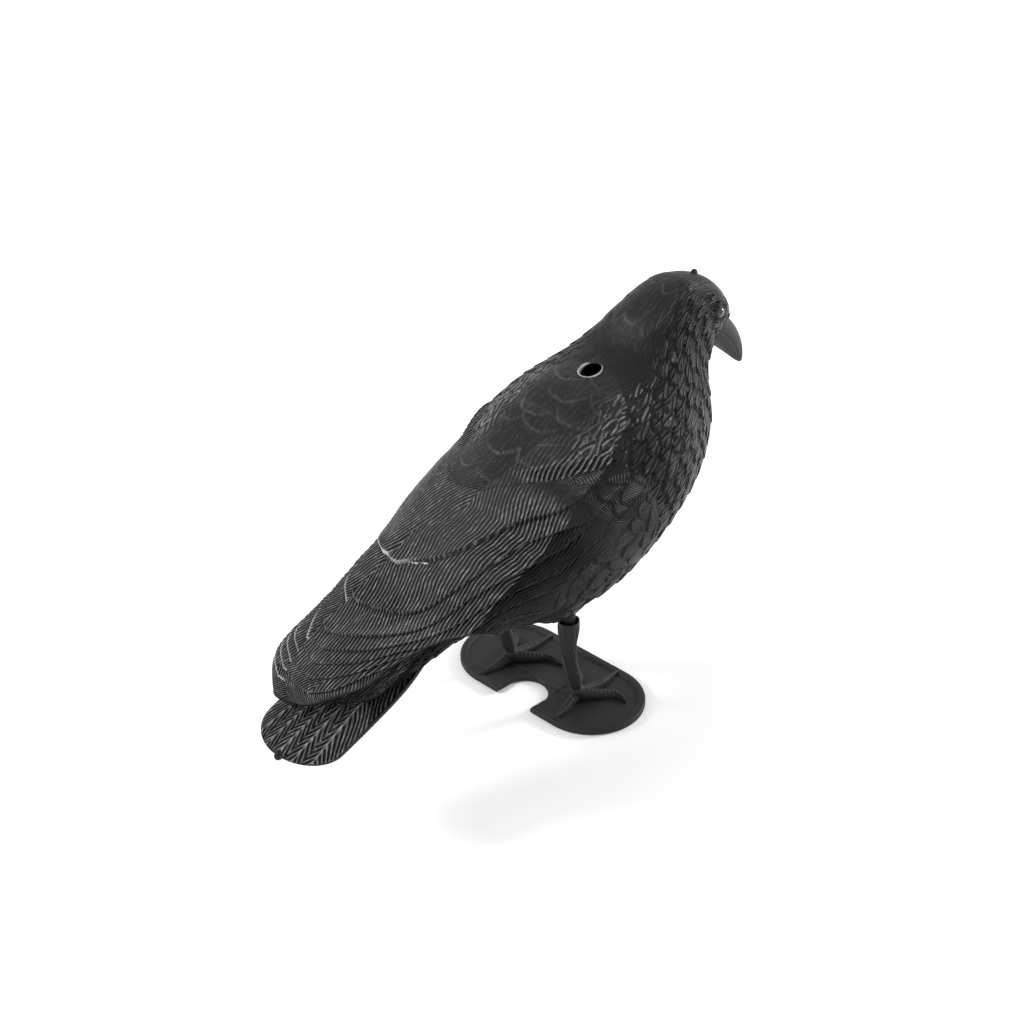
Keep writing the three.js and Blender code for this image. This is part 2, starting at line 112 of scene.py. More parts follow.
# A wing's long feathers from the top one down: the visible lower edge, as along and angle; the
# place and angle of its tip; how far its end is rounded. The first is the mantle's edge.
RIGHT_FEATHERS = [
    ([[15, 86], [20, 82], [43, 60], [52, 53], [62, 46], [88, 33]], (8, 98), 16),
    ([[-48, 96], [-40, 89], [-28, 79], [-10, 68], [8, 60], [20, 51], [48, 43]], (-49, 98), 9),
    ([[-80, 92], [-72, 77], [-52, 62], [-18, 52], [0, 47], [30, 30]], (-80, 95), 9),
    ([[-103, 90], [-90, 69], [-60, 51], [-30, 39], [10, 28]], (-103, 92), 9),
    ([[-112, 86], [-100, 62], [-70, 43], [-40, 27], [0, 16]], (-112, 89), 9),
    ([[-120, 80], [-108, 56], [-80, 36], [-50, 18], [-10, 6]], (-120, 85), 9),
    ([[-128, 74], [-116, 50], [-90, 32], [-60, 14], [-15, -4]], (-128, 80), 9),
    ([[-136, 66], [-124, 44], [-98, 26], [-65, 8], [-20, -12]], (-135.5, 75), 8),
]
LEFT_FEATHERS = [
    ([[15, 66], [20, 60], [43, 44], [52, 40], [62, 37], [88, 30]], (8, 76), 16),
    ([[-47, 64], [-44, 50], [-36, 38], [-10, 30], [20, 24], [48, 20]], (-47, 66), 14),
    ([[-84, 76], [-76, 62], [-60, 48], [-30, 38], [10, 28]], (-84, 79), 13),
    ([[-112, 74], [-103, 66], [-95, 58], [-70, 44], [-40, 30], [0, 16]], (-112, 77), 12),
    ([[-121, 78], [-115, 60], [-100, 46], [-70, 30], [-30, 12]], (-121, 80), 10),
    ([[-127, 76], [-118, 52], [-95, 34], [-60, 14], [-15, -4]], (-127, 78), 9),
    ([[-132, 72], [-122, 46], [-98, 27], [-62, 9], [-15, -8]], (-132, 75), 8),
    ([[-137, 66], [-126, 40], [-98, 22], [-65, 5], [-20, -13]], (-137, 70), 8),
]

# For each of these feathers and for what lies below them: the lift of the edge, the barbs' depth
# and pitch and their lean in degrees
EDGE_LIFT = np.array([0.9, 2.4, 1.9, 1.7, 1.5, 1.3, 1.1, 1.0, 0.0])
BARB_DEPTH = np.array([0.20, 0.34, 0.36, 0.30, 0.28, 0.28, 0.28, 0.26, 0.24]) * 1.7
BARB_PITCH = np.array([2.5, 2.2, 2.2, 2.0, 2.0, 2.0, 2.0, 2.0, 2.0]) * 0.82
BARB_LEAN = np.radians([42, 40, 38, 36, 34, 32, 28, 28, 28])

# The right wing's upper edge, which lies over the left wing, and the line where a wing's flank
# feathers begin, both as along and angle
RIGHT_EDGE = ([-143, -137, -131, -119, -99, -83, -66, -48, -36, -25, -12, 0],
              [98, 101, 101, 99, 101, 104, 108, 112, 111, 107, 98, 94])
FLANK_LINE = ([-45, -20, 5, 20, 30, 45, 60, 80, 88], [-40, -6, 9, 5, 0, -3, 0, 10, 14])

# Rows of small feathers: their pitch along and across, how many rows deep each reaches, a seed,
# and the lean in degrees and the pitch of the strokes in them
Rows = namedtuple("Rows", "along across reach seed lean strokes", defaults=(0, 1))
SMALL = Rows(11.0, 7.8, 2.1, 2, 12, 2.4)
BROAD = Rows(17.0, 19.2, 1.9, 6)
MANTLE = Rows(17.0, 19.0, 1.9, 12)
COVER = Rows(11.0, 15.0, 2.0, 4, 62, 1.45)
FLANK = Rows(12.0, 13.0, 2.2, 9, 18, 1.5)
THIGH = Rows(7.0, 8.4, 2.1, 5, 22, 1.5)

# Where along a wing its cover feathers begin
COVER_START = 36.0

# The stand: round ends and half the straight length between them, the notch, heights of the
# plate, its floor and the toes' hub, the round of each foot, and each toe's joint and claw
PLATE_ROUND, PLATE_STRAIGHT = 33.7, 32.1
NOTCH_ROUND, NOTCH_MIDDLE = 14.0, -23.2
PLATE_TOP, PLATE_FLOOR, HUB_HEIGHT = 4.0, 2.6, 10.0
FOOT_HEIGHT, FOOT_RADIUS = 9.4, 4.5
TOES = [((-14, 2), (-26, 3.5)), ((18, -15), (19, -27)), ((21, 0.5), (39, -0.5)),
        ((19, 14.5), (18, 24))]


def through(rows, column, place):
    """Smooth cubic through one column of the rows, read at the places, all at once."""
    x, y = rows[:, 0], rows[:, column]
    place = np.clip(place, x[0], x[-1])
    step = np.diff(x)
    rise = np.diff(y) / step
    slope = np.empty(len(x))
    slope[0], slope[-1] = rise[0], rise[-1]
    slope[1:-1] = (rise[:-1] * step[1:] + rise[1:] * step[:-1]) / (step[:-1] + step[1:])
    i = np.clip(np.searchsorted(x, place) - 1, 0, len(x) - 2)
    t = (place - x[i]) / step[i]
    return ((2 * t**3 - 3 * t**2 + 1) * y[i] + (t**3 - 2 * t**2 + t) * step[i] * slope[i]
            + (-2 * t**3 + 3 * t**2) * y[i + 1] + (t**3 - t**2) * step[i] * slope[i + 1])


def rounded(t):
    """A quarter round that rises from 0 to 1."""
    return np.sqrt(1 - (1 - np.clip(t, 0, 1)) ** 2)


def smooth(low, high, value):
    """0 below low, 1 above high, with a soft S between."""
    t = np.clip((value - low) / (high - low), 0, 1)
    return t * t * (3 - 2 * t)


def band(value, low, high, top, end):
    """Rises from 0 to 1 between low and high, and falls back between top and end."""
    return smooth(low, high, value) * (1 - smooth(top, end, value))


def bell(value, width):
    """A bell curve of 1 at 0, a third at the width."""
    return np.exp(-(value / width) ** 2)


def power(value, exponent):
    """The signed power that makes a squarish ellipse."""
    return np.sign(value) * np.abs(value) ** (2 / exponent)


def chance(*keys):
    """A fixed pseudo-random share from 0 to 1 for each whole-number key."""
    total = sum(np.asarray(k, float) * f for k, f in zip(keys, (12.9898, 78.233, 37.719, 9.131)))
    return np.modf(np.abs(np.sin(total) * 43758.5453))[0]


def waves(x, y, seed):
    """A slow even noise in two directions: a sum of a few tilted sines."""
    total = 0
    for k in range(5):
        a = 2.4 * k + seed
        f = 1 + 0.55 * k
        total = total + np.sin(f * (x * math.cos(a) + y * math.sin(a)) + 1.7 * k * seed + a) / f
    return total / 2.2


def grid(x, y):
    return np.meshgrid(x, y, indexing="ij")


def circle(count):
    return np.linspace(0, 2 * math.pi, count)


def bird_point(along, across, above):
    """Millimetres along the back, across and above it, turned by the pitch, into metres."""
    along, across, above = np.broadcast_arrays(along, across, above)
    x = along * math.cos(PITCH) - above * math.sin(PITCH) - CUFF_BACK
    z = along * math.sin(PITCH) + above * math.cos(PITCH) + LEG_HEIGHT
    return np.stack([x, across, z], -1) * MM


def outward_normals(points, centre):
    """Unit normals of a grid of points, from the cross product of its two directions, turned away
    from the centre."""
    down, side = np.gradient(points, axis=0), np.gradient(points, axis=1)
    if np.allclose(points[:, 0], points[:, -1], atol=1e-7):
        side[:, 0] = side[:, -1] = (points[:, 1] - points[:, -2]) / 2
    normal = np.cross(down, side)
    normal /= np.linalg.norm(normal, axis=-1, keepdims=True) + 1e-15
    return normal * np.sign(np.sum(normal * (points - centre)))


def corners(values):
    """The four corner values of each cell of a grid."""
    return np.stack([values[:-1, :-1], values[1:, :-1], values[1:, 1:], values[:-1, 1:]], -1)


def middle(values):
    return corners(values).mean(-1)


def skin_object(name, points, strokes=None, flow=None, marks=None):
    """A closed skin: rings of points whose last column repeats the first, with the first and the
    last ring drawn together into a pole. strokes holds each cell's four corner phases and its
    depth, flow and marks two values at each point; all become UV maps. The marks hold a painted
    highlight and a painted shade."""
    rows, cols = points.shape[0], points.shape[1] - 1
    rings = points[1:-1, :-1].reshape(-1, 3)
    verts = np.concatenate([rings, [points[0].mean(0), points[-1].mean(0)]])
    index = np.full((rows, cols + 1), len(rings))
    index[1:-1, :-1] = np.arange(len(rings)).reshape(rows - 2, cols)
    index[1:-1, -1], index[-1] = index[1:-1, 0], len(rings) + 1
    cells = corners(index)
    a, b, c, d = (verts[k] for k in cells[1:-1].reshape(-1, 4).T)
    way = -1 if np.sum(a * (np.cross(b, c) + np.cross(c, d))) < 0 else 1

    def by_face(values):
        """The corner values of the cells as one list: the four-sided cells in order, then the
        triangles at the first pole and at the last."""
        faces = (values[1:-1].reshape(-1, *values.shape[2:]), values[0][:, :3],
                 values[-1][:, [0, 1, 3]])
        return np.concatenate([face[:, ::way].reshape(-1, *values.shape[3:]) for face in faces])

    loops = by_face(cells)
    sizes = np.repeat([4, 3], [(rows - 3) * cols, 2 * cols])

    mesh = bpy.data.meshes.new(name)
    mesh.vertices.add(len(verts))
    mesh.vertices.foreach_set("co", verts.astype(np.float32).ravel())
    mesh.loops.add(len(loops))
    mesh.loops.foreach_set("vertex_index", loops.astype(np.int32))
    mesh.polygons.add(len(sizes))
    starts = np.concatenate([[0], np.cumsum(sizes)[:-1]])
    mesh.polygons.foreach_set("loop_start", starts.astype(np.int32))
    mesh.polygons.foreach_set("use_smooth", np.ones(len(sizes), bool))
    mesh.update(calc_edges=True)
    mesh.validate()

    maps = {}
    if strokes:
        phase, depth = strokes
        maps["strokes"] = np.stack([phase, np.broadcast_to(depth[..., None], phase.shape)], -1)
    for key, pair in (("flow", flow), ("marks", marks)):
        if pair:
            maps[key] = np.stack([corners(value) for value in pair], -1)
    for key, value in maps.items():
        layer = mesh.uv_layers.new(name=key)
        layer.data.foreach_set("uv", by_face(value).astype(np.float32).ravel())
    return add_object(name, mesh)


def add_object(name, data):
    piece = bpy.data.objects.new(name, data)
    bpy.context.scene.collection.objects.link(piece)
    return piece


def dress(piece, material, node):
    """Gives a piece its material and its body, and hides the solid that it stands for."""
    piece.data.materials.clear()
    piece.data.materials.append(material)
    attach(piece, "root")
    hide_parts(node)


def from_shaft(kind, row, col, w):
    """How far across its feather each point lies."""
    place = w / kind.across - 0.5 * np.mod(row, 2) - col
    return place * kind.across - (chance(row, col, kind.seed) - 0.5) * 0.25 * kind.across


def scales(kind, s, w):
    """Rows of overlapping feathers that point towards growing s. Each point gets the feather on
    top of it, from the rows in front first: its row and column, how far across it lies, how far
    down it, and the gap to the nearest upper feather's edge."""
    found = np.zeros(np.shape(s), bool)
    gap = np.full(np.shape(s), 99.0)
    row, col, x, t = (np.zeros(np.shape(s)) for _ in range(4))
    half = 0.62 * kind.across
    for back in range(math.ceil(kind.reach), -1, -1):
        i = np.floor(s / kind.along) - back
        c = np.round(w / kind.across - 0.5 * np.mod(i, 2))
        side = from_shaft(kind, i, c, w)
        length = kind.along * kind.reach * (0.86 + 0.28 * chance(i, c, kind.seed + 3))
        down = (s - i * kind.along) / length
        f = np.hypot(side / half, np.clip(down - 0.4, 0, None) / 0.6)
        f = f * (1 + 0.025 * np.sin(7 * np.arctan2(side / half, down) + 6 * chance(i, c, 5)))
        inside = (f < 1) & ~found if back else ~found
        row, col, x, t = (np.where(inside, new, old) for new, old in
                          ((i, row), (c, col), (side, x), (down, t)))
        gap = np.where(found | inside, gap, np.minimum(gap, (f - 1) * half))
        found |= inside
    return row, col, x, t, gap


def scale_strokes(kind, row, col, s, w):
    """The phase of a feather's strokes at points: lines that leave its shaft at the lean."""
    y = s - row * kind.along
    lean = math.radians(kind.lean) * (0.7 + 0.6 * chance(row, col, kind.seed + 8))
    bend = 0.14 * np.sin(0.35 * y + 5 * chance(row, col, kind.seed + 9))
    side = np.abs(from_shaft(kind, row, col, w))
    return ((y * np.sin(lean) - side * np.cos(lean)) / kind.strokes + bend
            + 7 * chance(row, col, 1))


def face_strokes(kind, s, w):
    """Each face's corner phases, all from the feather at its middle, and that feather's gap."""
    row, col, _, _, gap = scales(kind, middle(s), middle(w))
    return scale_strokes(kind, row[..., None], col[..., None], corners(s), corners(w)), gap


def torso_surface(order, angle):
    """Rings round a bent centre line: a squarish ellipse with its own rise and drop, in the plane
    across the line, with rounded ends. Returns the skin and the centre line."""
    along, level = through(TORSO, 1, order), through(TORSO, 2, order)
    near = 0.01
    ahead, rise = (through(TORSO, k, order + near) - through(TORSO, k, order - near)
                   for k in (1, 2))
    length = np.hypot(ahead, rise)
    cap = rounded(order / 0.7) * rounded((TORSO[-1, 0] - order) / 0.5)
    up = np.sin(angle) > 0
    exponent = np.where(up, 2.3, 2.4)
    height = np.where(up, through(TORSO, 4, order), through(TORSO, 5, order)) * cap
    n = height * power(np.sin(angle), exponent)
    across = through(TORSO, 3, order) * cap * power(np.cos(angle), exponent)
    return (bird_point(along - rise / length * n, across, level + ahead / length * n),
            bird_point(along, 0, level))


def saddle(along):
    """How far the middle of the back is raised to lie level with the folded wings, in mm."""
    wings = through(WING, 1, along) + through(WING, 3, along)
    own = np.interp(along, TORSO[:, 1], TORSO[:, 2] + TORSO[:, 4])
    return np.maximum(wings - own - 0.3, 0) * band(along, -40, -8, 66, 84)


def ring_share(points):
    """How far each point lies round its ring, as a share of the ring's length."""
    step = np.linalg.norm(np.diff(points, axis=1), axis=-1)
    total = np.concatenate([np.zeros((len(points), 1)), np.cumsum(step, 1)], 1)
    return total / (total[:, -1:] + 1e-12)


def from_place(points, *place):
    """The distance of points from a place of the bird, in millimetres."""
    return np.linalg.norm(points - bird_point(*place), axis=-1) / MM


def from_hole(points):
    """The distance of points from the hole's axis, in millimetres."""
    away = (points - bird_point(*HOLE)) / MM
    return np.hypot(away[..., 0] * math.cos(PITCH) + away[..., 2] * math.sin(PITCH), away[..., 1])


def outline_highlight(gap, s, w):
    """A painted highlight: the broken pale line along the raised edges of the broad mantle
    feathers.
    """
    return 0.10 * bell(gap - 0.5, 0.4) * (0.3 + 0.7 * waves(s / 11, w / 11, 3.1) ** 2)


def body_skin(sizes):
    """Torso and head: the squarish rings, raised by rows of feathers that grow coarser from the
    smooth crown and back to the sides of the neck, the breast and the belly. Under the head the
    rings crowd together, so there the skin runs straight from the throat to the chin."""
    line = np.concatenate([np.linspace(0, 3.2, 60)[:-1], np.linspace(3.2, 10, 206)])
    order, angle = grid(line, np.linspace(-math.pi / 2, 1.5 * math.pi, 361))
    points, centre = torso_surface(order, angle)
    throat, chin = 8.2, 9.6
    t = np.clip((order - throat) / (chin - throat), 0, 1)[..., None]
    first, last = (torso_surface(np.full_like(order, k), angle)[0] for k in (throat, chin))
    lower = smooth(0.1, 0.7, -np.sin(angle)) * (order > throat) * (order < chin)
    points = points + (first * (1 - t) + last * t - points) * lower[..., None]
    normal = outward_normals(points, centre)

    # s runs from the head to the tail and w round the body, both in millimetres
    step = np.hypot(*(np.gradient(through(TORSO, k, line)) for k in (1, 2)))
    s = np.broadcast_to(step[::-1].cumsum()[::-1][:, None], order.shape)
    w = (ring_share(points) - 0.5) * BODY_ROUND
    away = 2 * np.abs(w) / BODY_ROUND
    rough = smooth(0.07, 0.36, away)
    head = smooth(7.6, 8.7, order)
    coarse = rough * (1 - 0.35 * head)
    calm = (1 - rough) * (1 - head)
    along = through(TORSO, 1, order)
    over, top = angle > 0, 1 - smooth(0.16, 0.36, away)

    row, col, x, t, gap = scales(SMALL, s, w)
    lift = 0.1 + 0.6 * coarse
    height = lift * (t * 2.1 - 1.6) * np.clip(t * 3, 0, 1) + 0.35 * lift * (1 - (x / 6) ** 2)
    height -= (0.05 + 0.5 * coarse) * np.exp(-gap / 0.6)
    *_, broad_t, broad_gap = scales(BROAD, s, w)
    height += 0.22 * calm * (broad_t * 1.9 - 1.4 - 0.3 * np.exp(-broad_gap / 0.8)
                             + 0.9 * bell(broad_gap - 0.5, 0.5))
    height += 0.3 * waves(s / 22, w / 22, 1.3) * (1 - head)

    # The back between the wings, the swell beside the mantle, the belly, the breast and the brow
    height += saddle(along) * top
    height += 1.2 * band(along, 28, 48, 70, 92) * band(away, 0.08, 0.2, 0.3, 0.4) * over
    under = smooth(0.1, 0.5, -np.sin(angle)) * smooth(0.3, 0.6, np.abs(np.cos(angle)))
    height += (2.4 * bell(order - 3.5, 0.5) - 1.2 * bell(order - 5.0, 0.6)) * under
    height += 1.9 * smooth(7.9, 8.9, order) * smooth(0.1, 0.5, np.sin(angle))

    # The hole's raised lip, the pit beside it and the sockets of the eyes
    height += 0.55 * bell(from_hole(points) - sizes.hole_size * 500 - 0.9, 0.7) * over
    pit = from_place(points, *PIT)
    height += 0.5 * bell(pit - 1.8, 0.7) - 0.7 * bell(pit, 0.9)
    for side in (-1, 1):
        eye = from_place(points, EYE_ALONG, side * (EYE_ACROSS + 1), EYE_ABOVE)
        height += 0.9 * bell(eye - 6.2, 1.3) - 1.8 * bell(eye, 4.4)

    close = rounded(order / 0.3) * rounded((10 - order) / 0.15)
    inset = 0.1 + head * top
    points = points + normal * (height * close - inset)[..., None] * MM
    room = (CROWN - points[..., 2]) / CROWN_EASE
    points[..., 2] = CROWN - np.logaddexp(0, room) * CROWN_EASE

    lines, face_gap = face_strokes(SMALL, s, w)
    amount = (0.03 + coarse * (0.3 + 0.65 * chance(row, col, 21))) * (1 - 0.2 * head)
    depth = middle(amount * smooth(0.08, 0.2, away)) * 2.2 * smooth(0, 0.4, face_gap)
    # Painted shade: darker in the grooves at the small feathers' edges
    groove = (0.1 + 0.5 * coarse) * np.exp(-gap / 0.6)
    # Painted highlight: pale outlines of the broad feathers on the back
    body = skin_object("body", points, (lines, depth), (s / 10, w / 10),
                       (outline_highlight(broad_gap, s, w) * calm, groove))
    hollow_out(body, sizes)
    return body


def hollow_out(body, sizes):
    """Cuts the hollow, a smaller copy of the torso one wall inside it, and the hole that opens
    into it, a slightly uneven round."""
    tail_end, head_end, wall = 0.8, 7.9, 0.0032
    order, angle = grid(np.linspace(tail_end, head_end, 40), circle(61))
    points, centre = torso_surface(order, angle)
    inward = points - centre
    length = np.linalg.norm(inward, axis=-1, keepdims=True)
    closing = rounded((order - tail_end) / 0.7) * rounded((head_end - order) / 0.9)
    hollow = centre + inward * np.clip(1 - wall / (length + 1e-9), 0.02, 1) * closing[..., None]
    along, turn = grid(np.array([0, 0, 26, 26.0]), circle(65))
    uneven = 1 + 0.045 * np.cos(2 * turn + 0.6) + 0.025 * np.cos(3 * turn + 2)
    radius = np.array([0, 1, 1, 0.0])[:, None] * uneven * sizes.hole_size * 500
    bore = bird_point(HOLE[0] + radius * np.cos(turn), HOLE[1] + radius * np.sin(turn),
                      HOLE[2] - 11 + along)
    cutters = [skin_object("hollow", hollow), skin_object("bore", bore)]
    for cutter in cutters:
        cut = body.modifiers.new(cutter.name, "BOOLEAN")
        cut.operation = "DIFFERENCE"
        cut.solver = "EXACT"
        cut.object = cutter
    graph = bpy.context.evaluated_depsgraph_get()
    made = bpy.data.meshes.new_from_object(body.evaluated_get(graph))
    body.modifiers.clear()
    body.data = made
    for cutter in cutters:
        bpy.data.objects.remove(cutter, do_unlink=True)


def wing_surface(along, angle, side):
    """The wing's shell: at each place along the bird a squarish ellipse round its back."""
    exponent = np.where(angle > 0, through(WING, 8, along), 2.4)
    height = np.where(angle > 0, through(WING, 3, along), through(WING, 4, along))
    across = through(WING, 5, along) + side * through(WING, 2, along) * power(
        np.cos(angle), exponent)
    return bird_point(along, across,
                      through(WING, 1, along) + height * power(np.sin(angle), exponent))


def wing_edges(along, start):
    """Inner and lower edge angles, drawn together in a round at the tip and in front."""
    open_ = rounded((along - start) / 22) * rounded((WING_FRONT - along) / 26)
    centre = np.radians(np.where(along < 0, REAR_MIDDLE, FRONT_MIDDLE))
    inner, lower = (centre + (np.radians(through(WING, k, along)) - centre) * open_
                    for k in (6, 7))
    return open_, inner, lower


def wing_skin(name, side):
    """A folded wing: its shell between two edges, raised by long feathers. Each long feather is
    highest at its lower edge and sinks inwards, so its edge stands over the one beneath it, with
    a shaft and slanting barbs. Small feathers cover the front and the flank below."""
    left = side > 0
    feathers = LEFT_FEATHERS if left else RIGHT_FEATHERS
    start = -146.0 if left else -143.0
    v = np.linspace(0, 1, 431)
    place = start + (WING_FRONT - start) * (0.55 * v + 0.45 * v**1.6)
    open_, inner, lower = wing_edges(place, start)
    if not left:
        centre = np.radians(REAR_MIDDLE)
        cut = centre + (np.radians(np.interp(place, *RIGHT_EDGE)) - centre) * open_
        inner = np.where(place < 0, cut, inner)

    # Across each ring: the outer side from the inner to the lower edge, and back underneath
    count = 178
    b = np.concatenate([np.linspace(0, 1, count), np.linspace(1, 0, 32)[1:]])
    rest = len(b) - count
    along = np.broadcast_to(place[:, None], (len(place), len(b)))
    angle = inner[:, None] + (lower - inner)[:, None] * b
    shell = wing_surface(along, angle, side)
    thick = 3 + (through(WING, 9, along) - 3) * (1 - (2 * b - 1) ** 4)
    solid = np.clip((along + 98) / 40, 0, 1)
    up = np.array([-math.sin(PITCH), 0, math.cos(PITCH)]) * MM
    out = np.array([0, side, 0]) * MM
    under = wing_surface(along, angle + (np.radians(FRONT_MIDDLE) - angle) * 0.06, side)
    under = under - up * (thick * np.maximum(np.sin(angle), 0.2))[..., None]
    under = under - out * (thick * np.maximum(np.cos(angle), 0) * solid)[..., None]
    under = shell + (under - shell) * open_[:, None, None]
    points = np.where(np.arange(len(b))[:, None] < count, shell, under)

    # a is the place along, w the way down from the inner edge and s the way back, in millimetres
    a, deg, top = along[:, :count], np.degrees(angle[:, :count]), shell[:, :count]
    normal = outward_normals(top, bird_point(a, 0, 60.0))
    step = np.linalg.norm(np.diff(top, axis=1), axis=-1) / MM
    w = np.concatenate([np.zeros((len(place), 1)), np.cumsum(step, 1)], 1)
    s = -a

    def across_of(angles):
        """The way down to given angles, as a column."""
        share = np.clip((np.radians(angles) - inner) / (lower - inner - 1e-9), 0, 1) * (count - 1)
        k = np.clip(np.floor(share).astype(int), 0, count - 2)
        ring = np.arange(len(place))
        return (w[ring, k] * (1 - share + k) + w[ring, k + 1] * (share - k))[:, None]

    def field(a, w, edges, tips):
        """The long feather on top of each point, how far the point lies from the nearest upper
        feather's edge and how far inside its own."""
        which, gap, inside_by = (np.full(a.shape, v) for v in (len(feathers), 99.0, 8.0))
        for k in range(len(feathers) - 1, -1, -1):
            _, (tip, _), round_ = feathers[k]
            draw = rounded((a - tip) / round_)
            low = tips[k] + (edges[k] - tips[k]) * draw
            high = tips[k] * (1 - draw) - 2 * draw - 40 * smooth(0.85, 1, draw)
            beyond = np.maximum(np.maximum(w - low, high - w), tip - a)
            is_in = beyond < 0
            inside_by = np.where(is_in, -beyond, inside_by)
            gap = np.where(is_in, 99.0, np.minimum(gap, np.maximum(beyond, 0)))
            which = np.where(is_in, k, which)
        return which, gap, inside_by

    # Each feather's shaft is a straight line from its root to its tip: a place, the way down
    # there and its slope
    edges, tips, shafts = [], [], []
    for k, (rows, (tip, tip_angle), _) in enumerate(feathers):
        rows = np.array(rows, float)
        edges.append(across_of(through(rows, 1, place)))
        tips.append(across_of(float(tip_angle)))
        near, far = tip + 6.0, rows[-1, 0] - 8
        at = np.interp(near, place, tips[-1][:, 0]) + 3
        root = np.interp(far, place, edges[-1][:, 0]) - (7.0 if k < 6 else 4.0)
        shafts.append((near, at, (root - at) / (far - near)))
    shafts = np.array(shafts + [(0.0, 0.0, 0.0)])

    def off_shaft(key, a, w):
        return w - shafts[key, 1] - shafts[key, 2] * (a - shafts[key, 0])

    def strokes(which, a, w, flank_w, s_at, w_at, flank_at):
        """The phase of the strokes at the places s_at, w_at and flank_at: slanting barbs, or the
        strokes of the cover or flank feather that lies at a, w and flank_w."""
        key = which[..., None]
        x = off_shaft(key, -s_at, w_at)
        x = np.where(key > 6, np.abs(x), x)
        wander = 0.2 * np.sin(0.19 * s_at + 1.3 * key) + 0.12 * np.sin(0.3 * x + key)
        lean = BARB_LEAN[key]
        phase = (s_at * np.sin(lean) - x * np.cos(lean)) / BARB_PITCH[key] + wander
        for kind, there, own, own_at in ((COVER, a > COVER_START, w, w_at),
                                         (FLANK, flank_w > 0, flank_w, flank_at)):
            row, col = (value[..., None] for value in scales(kind, -a, own)[:2])
            small = scale_strokes(kind, row, col, s_at, own_at)
            phase = np.where((there & (which > 0))[..., None], small, phase)
        return phase

    which, gap, inside_by = field(a, w, edges, tips)
    flank_w = w - across_of(np.interp(place, *FLANK_LINE))
    is_cover, is_flank = (a > COVER_START) & (which > 0), (flank_w > 0) & (which > 0)
    shaft = off_shaft(which, a, w)
    height = EDGE_LIFT[which] * (1 - np.where(which == 1, 0.6, 0.85) * smooth(0, 12, inside_by))
    height = np.where(which == len(feathers), 0.2, height)
    if left:
        height += 1.8 * bell(deg - 52, 24) * band(a, -66, -52, 0, 26)
    height += 0.3 * bell(shaft, 0.55) * (which > 5)
    height -= 1.1 * np.exp(-gap / 0.6)
    height += 0.35 * bell(inside_by - 0.7, 0.6) * (which > 0) * (which < len(feathers))
    *_, mantle_t, mantle_gap = scales(MANTLE, s, w)
    mantle = 0.24 * (mantle_t * 1.9 - 1.4) - 0.08 * np.exp(-mantle_gap / 0.8)
    mantle = (mantle + 0.2 * bell(mantle_gap - 0.5, 0.5)) * smooth(4, 14, inside_by)
    height = np.where(which == 0, height + mantle, height)
    *_, cover_t, cover_gap = scales(COVER, s, w)
    cover = 0.4 * (cover_t * 2 - 1.5) - 0.22 * np.exp(-cover_gap / 0.6) - 0.6 * np.exp(-gap / 0.5)
    turn = smooth(22, 42, a) * (which > 0)
    height = height * (1 - turn) + cover * turn
    row, col, _, flank_t, flank_gap = scales(FLANK, s, flank_w)
    flank = 0.7 * (flank_t * 2.2 - 1.7) - 0.35 * np.exp(-flank_gap / 0.6)
    height = np.where(is_flank, flank - 0.6 * np.exp(-flank_w / 0.5), height)

    # The strokes' depth: bold near the mantle's edge, faint on the shoulder
    amount = BARB_DEPTH[which] * (0.75 + 0.25 * waves(s / 14, w / 9, 2.0))
    amount = amount * (1 - smooth(12, 34, a))
    bold = band(a, 26, 38, 66, 80) * (1 - smooth(9, 17, edges[0] - w))
    amount = np.where(which == 0, 0.05 + 0.75 * bold, amount)
    amount = amount * (1 - 0.6 * smooth(58, 84, deg) * smooth(-75, -30, a) * (which > 0))
    amount = np.where(is_cover, 0.16 * smooth(34, 46, a), amount)
    amount = np.where(is_flank, (0.12 + 0.2 * chance(row, col, 3)) * (
        1 - 0.75 * smooth(26, 46, a)), amount)
    at = (s[..., None], w[..., None], flank_w[..., None])
    phase = strokes(which, a, w, flank_w, *at)[..., 0]
    height += amount * (0.5 * np.cos(2 * math.pi * phase) - 0.2)
    fade = smooth(0, 2.5, w[:, -1:] - w) * rounded((a - start) / 3)

    # Where the wing sinks into the body, the mantle and, on the left, under the other wing
    sink = (1.2 + 1.2 * smooth(0, 30, a)) * (1 - smooth(0, 14, w)) * smooth(-26, -4, a)
    sink = sink + 2.4 * smooth(62, 88, a) * smooth(30, 46, deg) + smooth(80, 88, a)
    if left:
        covered = smooth(-1, 7, deg - 180 + np.interp(a, *RIGHT_EDGE))
        sink = sink + 1.6 * covered * (1 - smooth(-30, -8, a))
        sink = sink + 2.0 * (1 - smooth(-92, -66, a))
        sink = sink + 1.6 * smooth(26, 56, a) * smooth(46, 62, deg)
    points[:, :count] += normal * (height * fade - sink)[..., None] * MM
    points[:, -1] = points[:, 0]

    face_a, face_w = middle(a), middle(w)
    face_edges, face_tips = ([(line[:-1] + line[1:]) / 2 for line in lines]
                             for lines in (edges, tips))
    face_which, _, _ = field(face_a, face_w, face_edges, face_tips)
    lines = strokes(face_which, face_a, face_w, middle(flank_w), *map(corners, (s, w, flank_w)))
    pad = [(0, 0), (0, rest)]
    # Painted highlight: a pale tone along the edges of the long feathers near their tips, bold on
    # the left wing and faint on the right
    highlight = np.array([0, 1, 1, 1, 1, 1, 1, 1, 0] if left else
                    [0, 0.7, 0.12, 0.06, 0.05, 0.05, 0.05, 0.05, 0])
    tip_of = np.array([f[1][0] for f in feathers] + [-500.0])[which]
    pale = highlight[which] * bell(inside_by, 1.0)
    pale *= 1 - smooth(*((8, 20) if left else (2, 8)), a - tip_of)
    # Painted highlight: pale outlines of the mantle feathers
    pale += outline_highlight(mantle_gap, s, w) * (which == 0) * smooth(4, 14, inside_by)
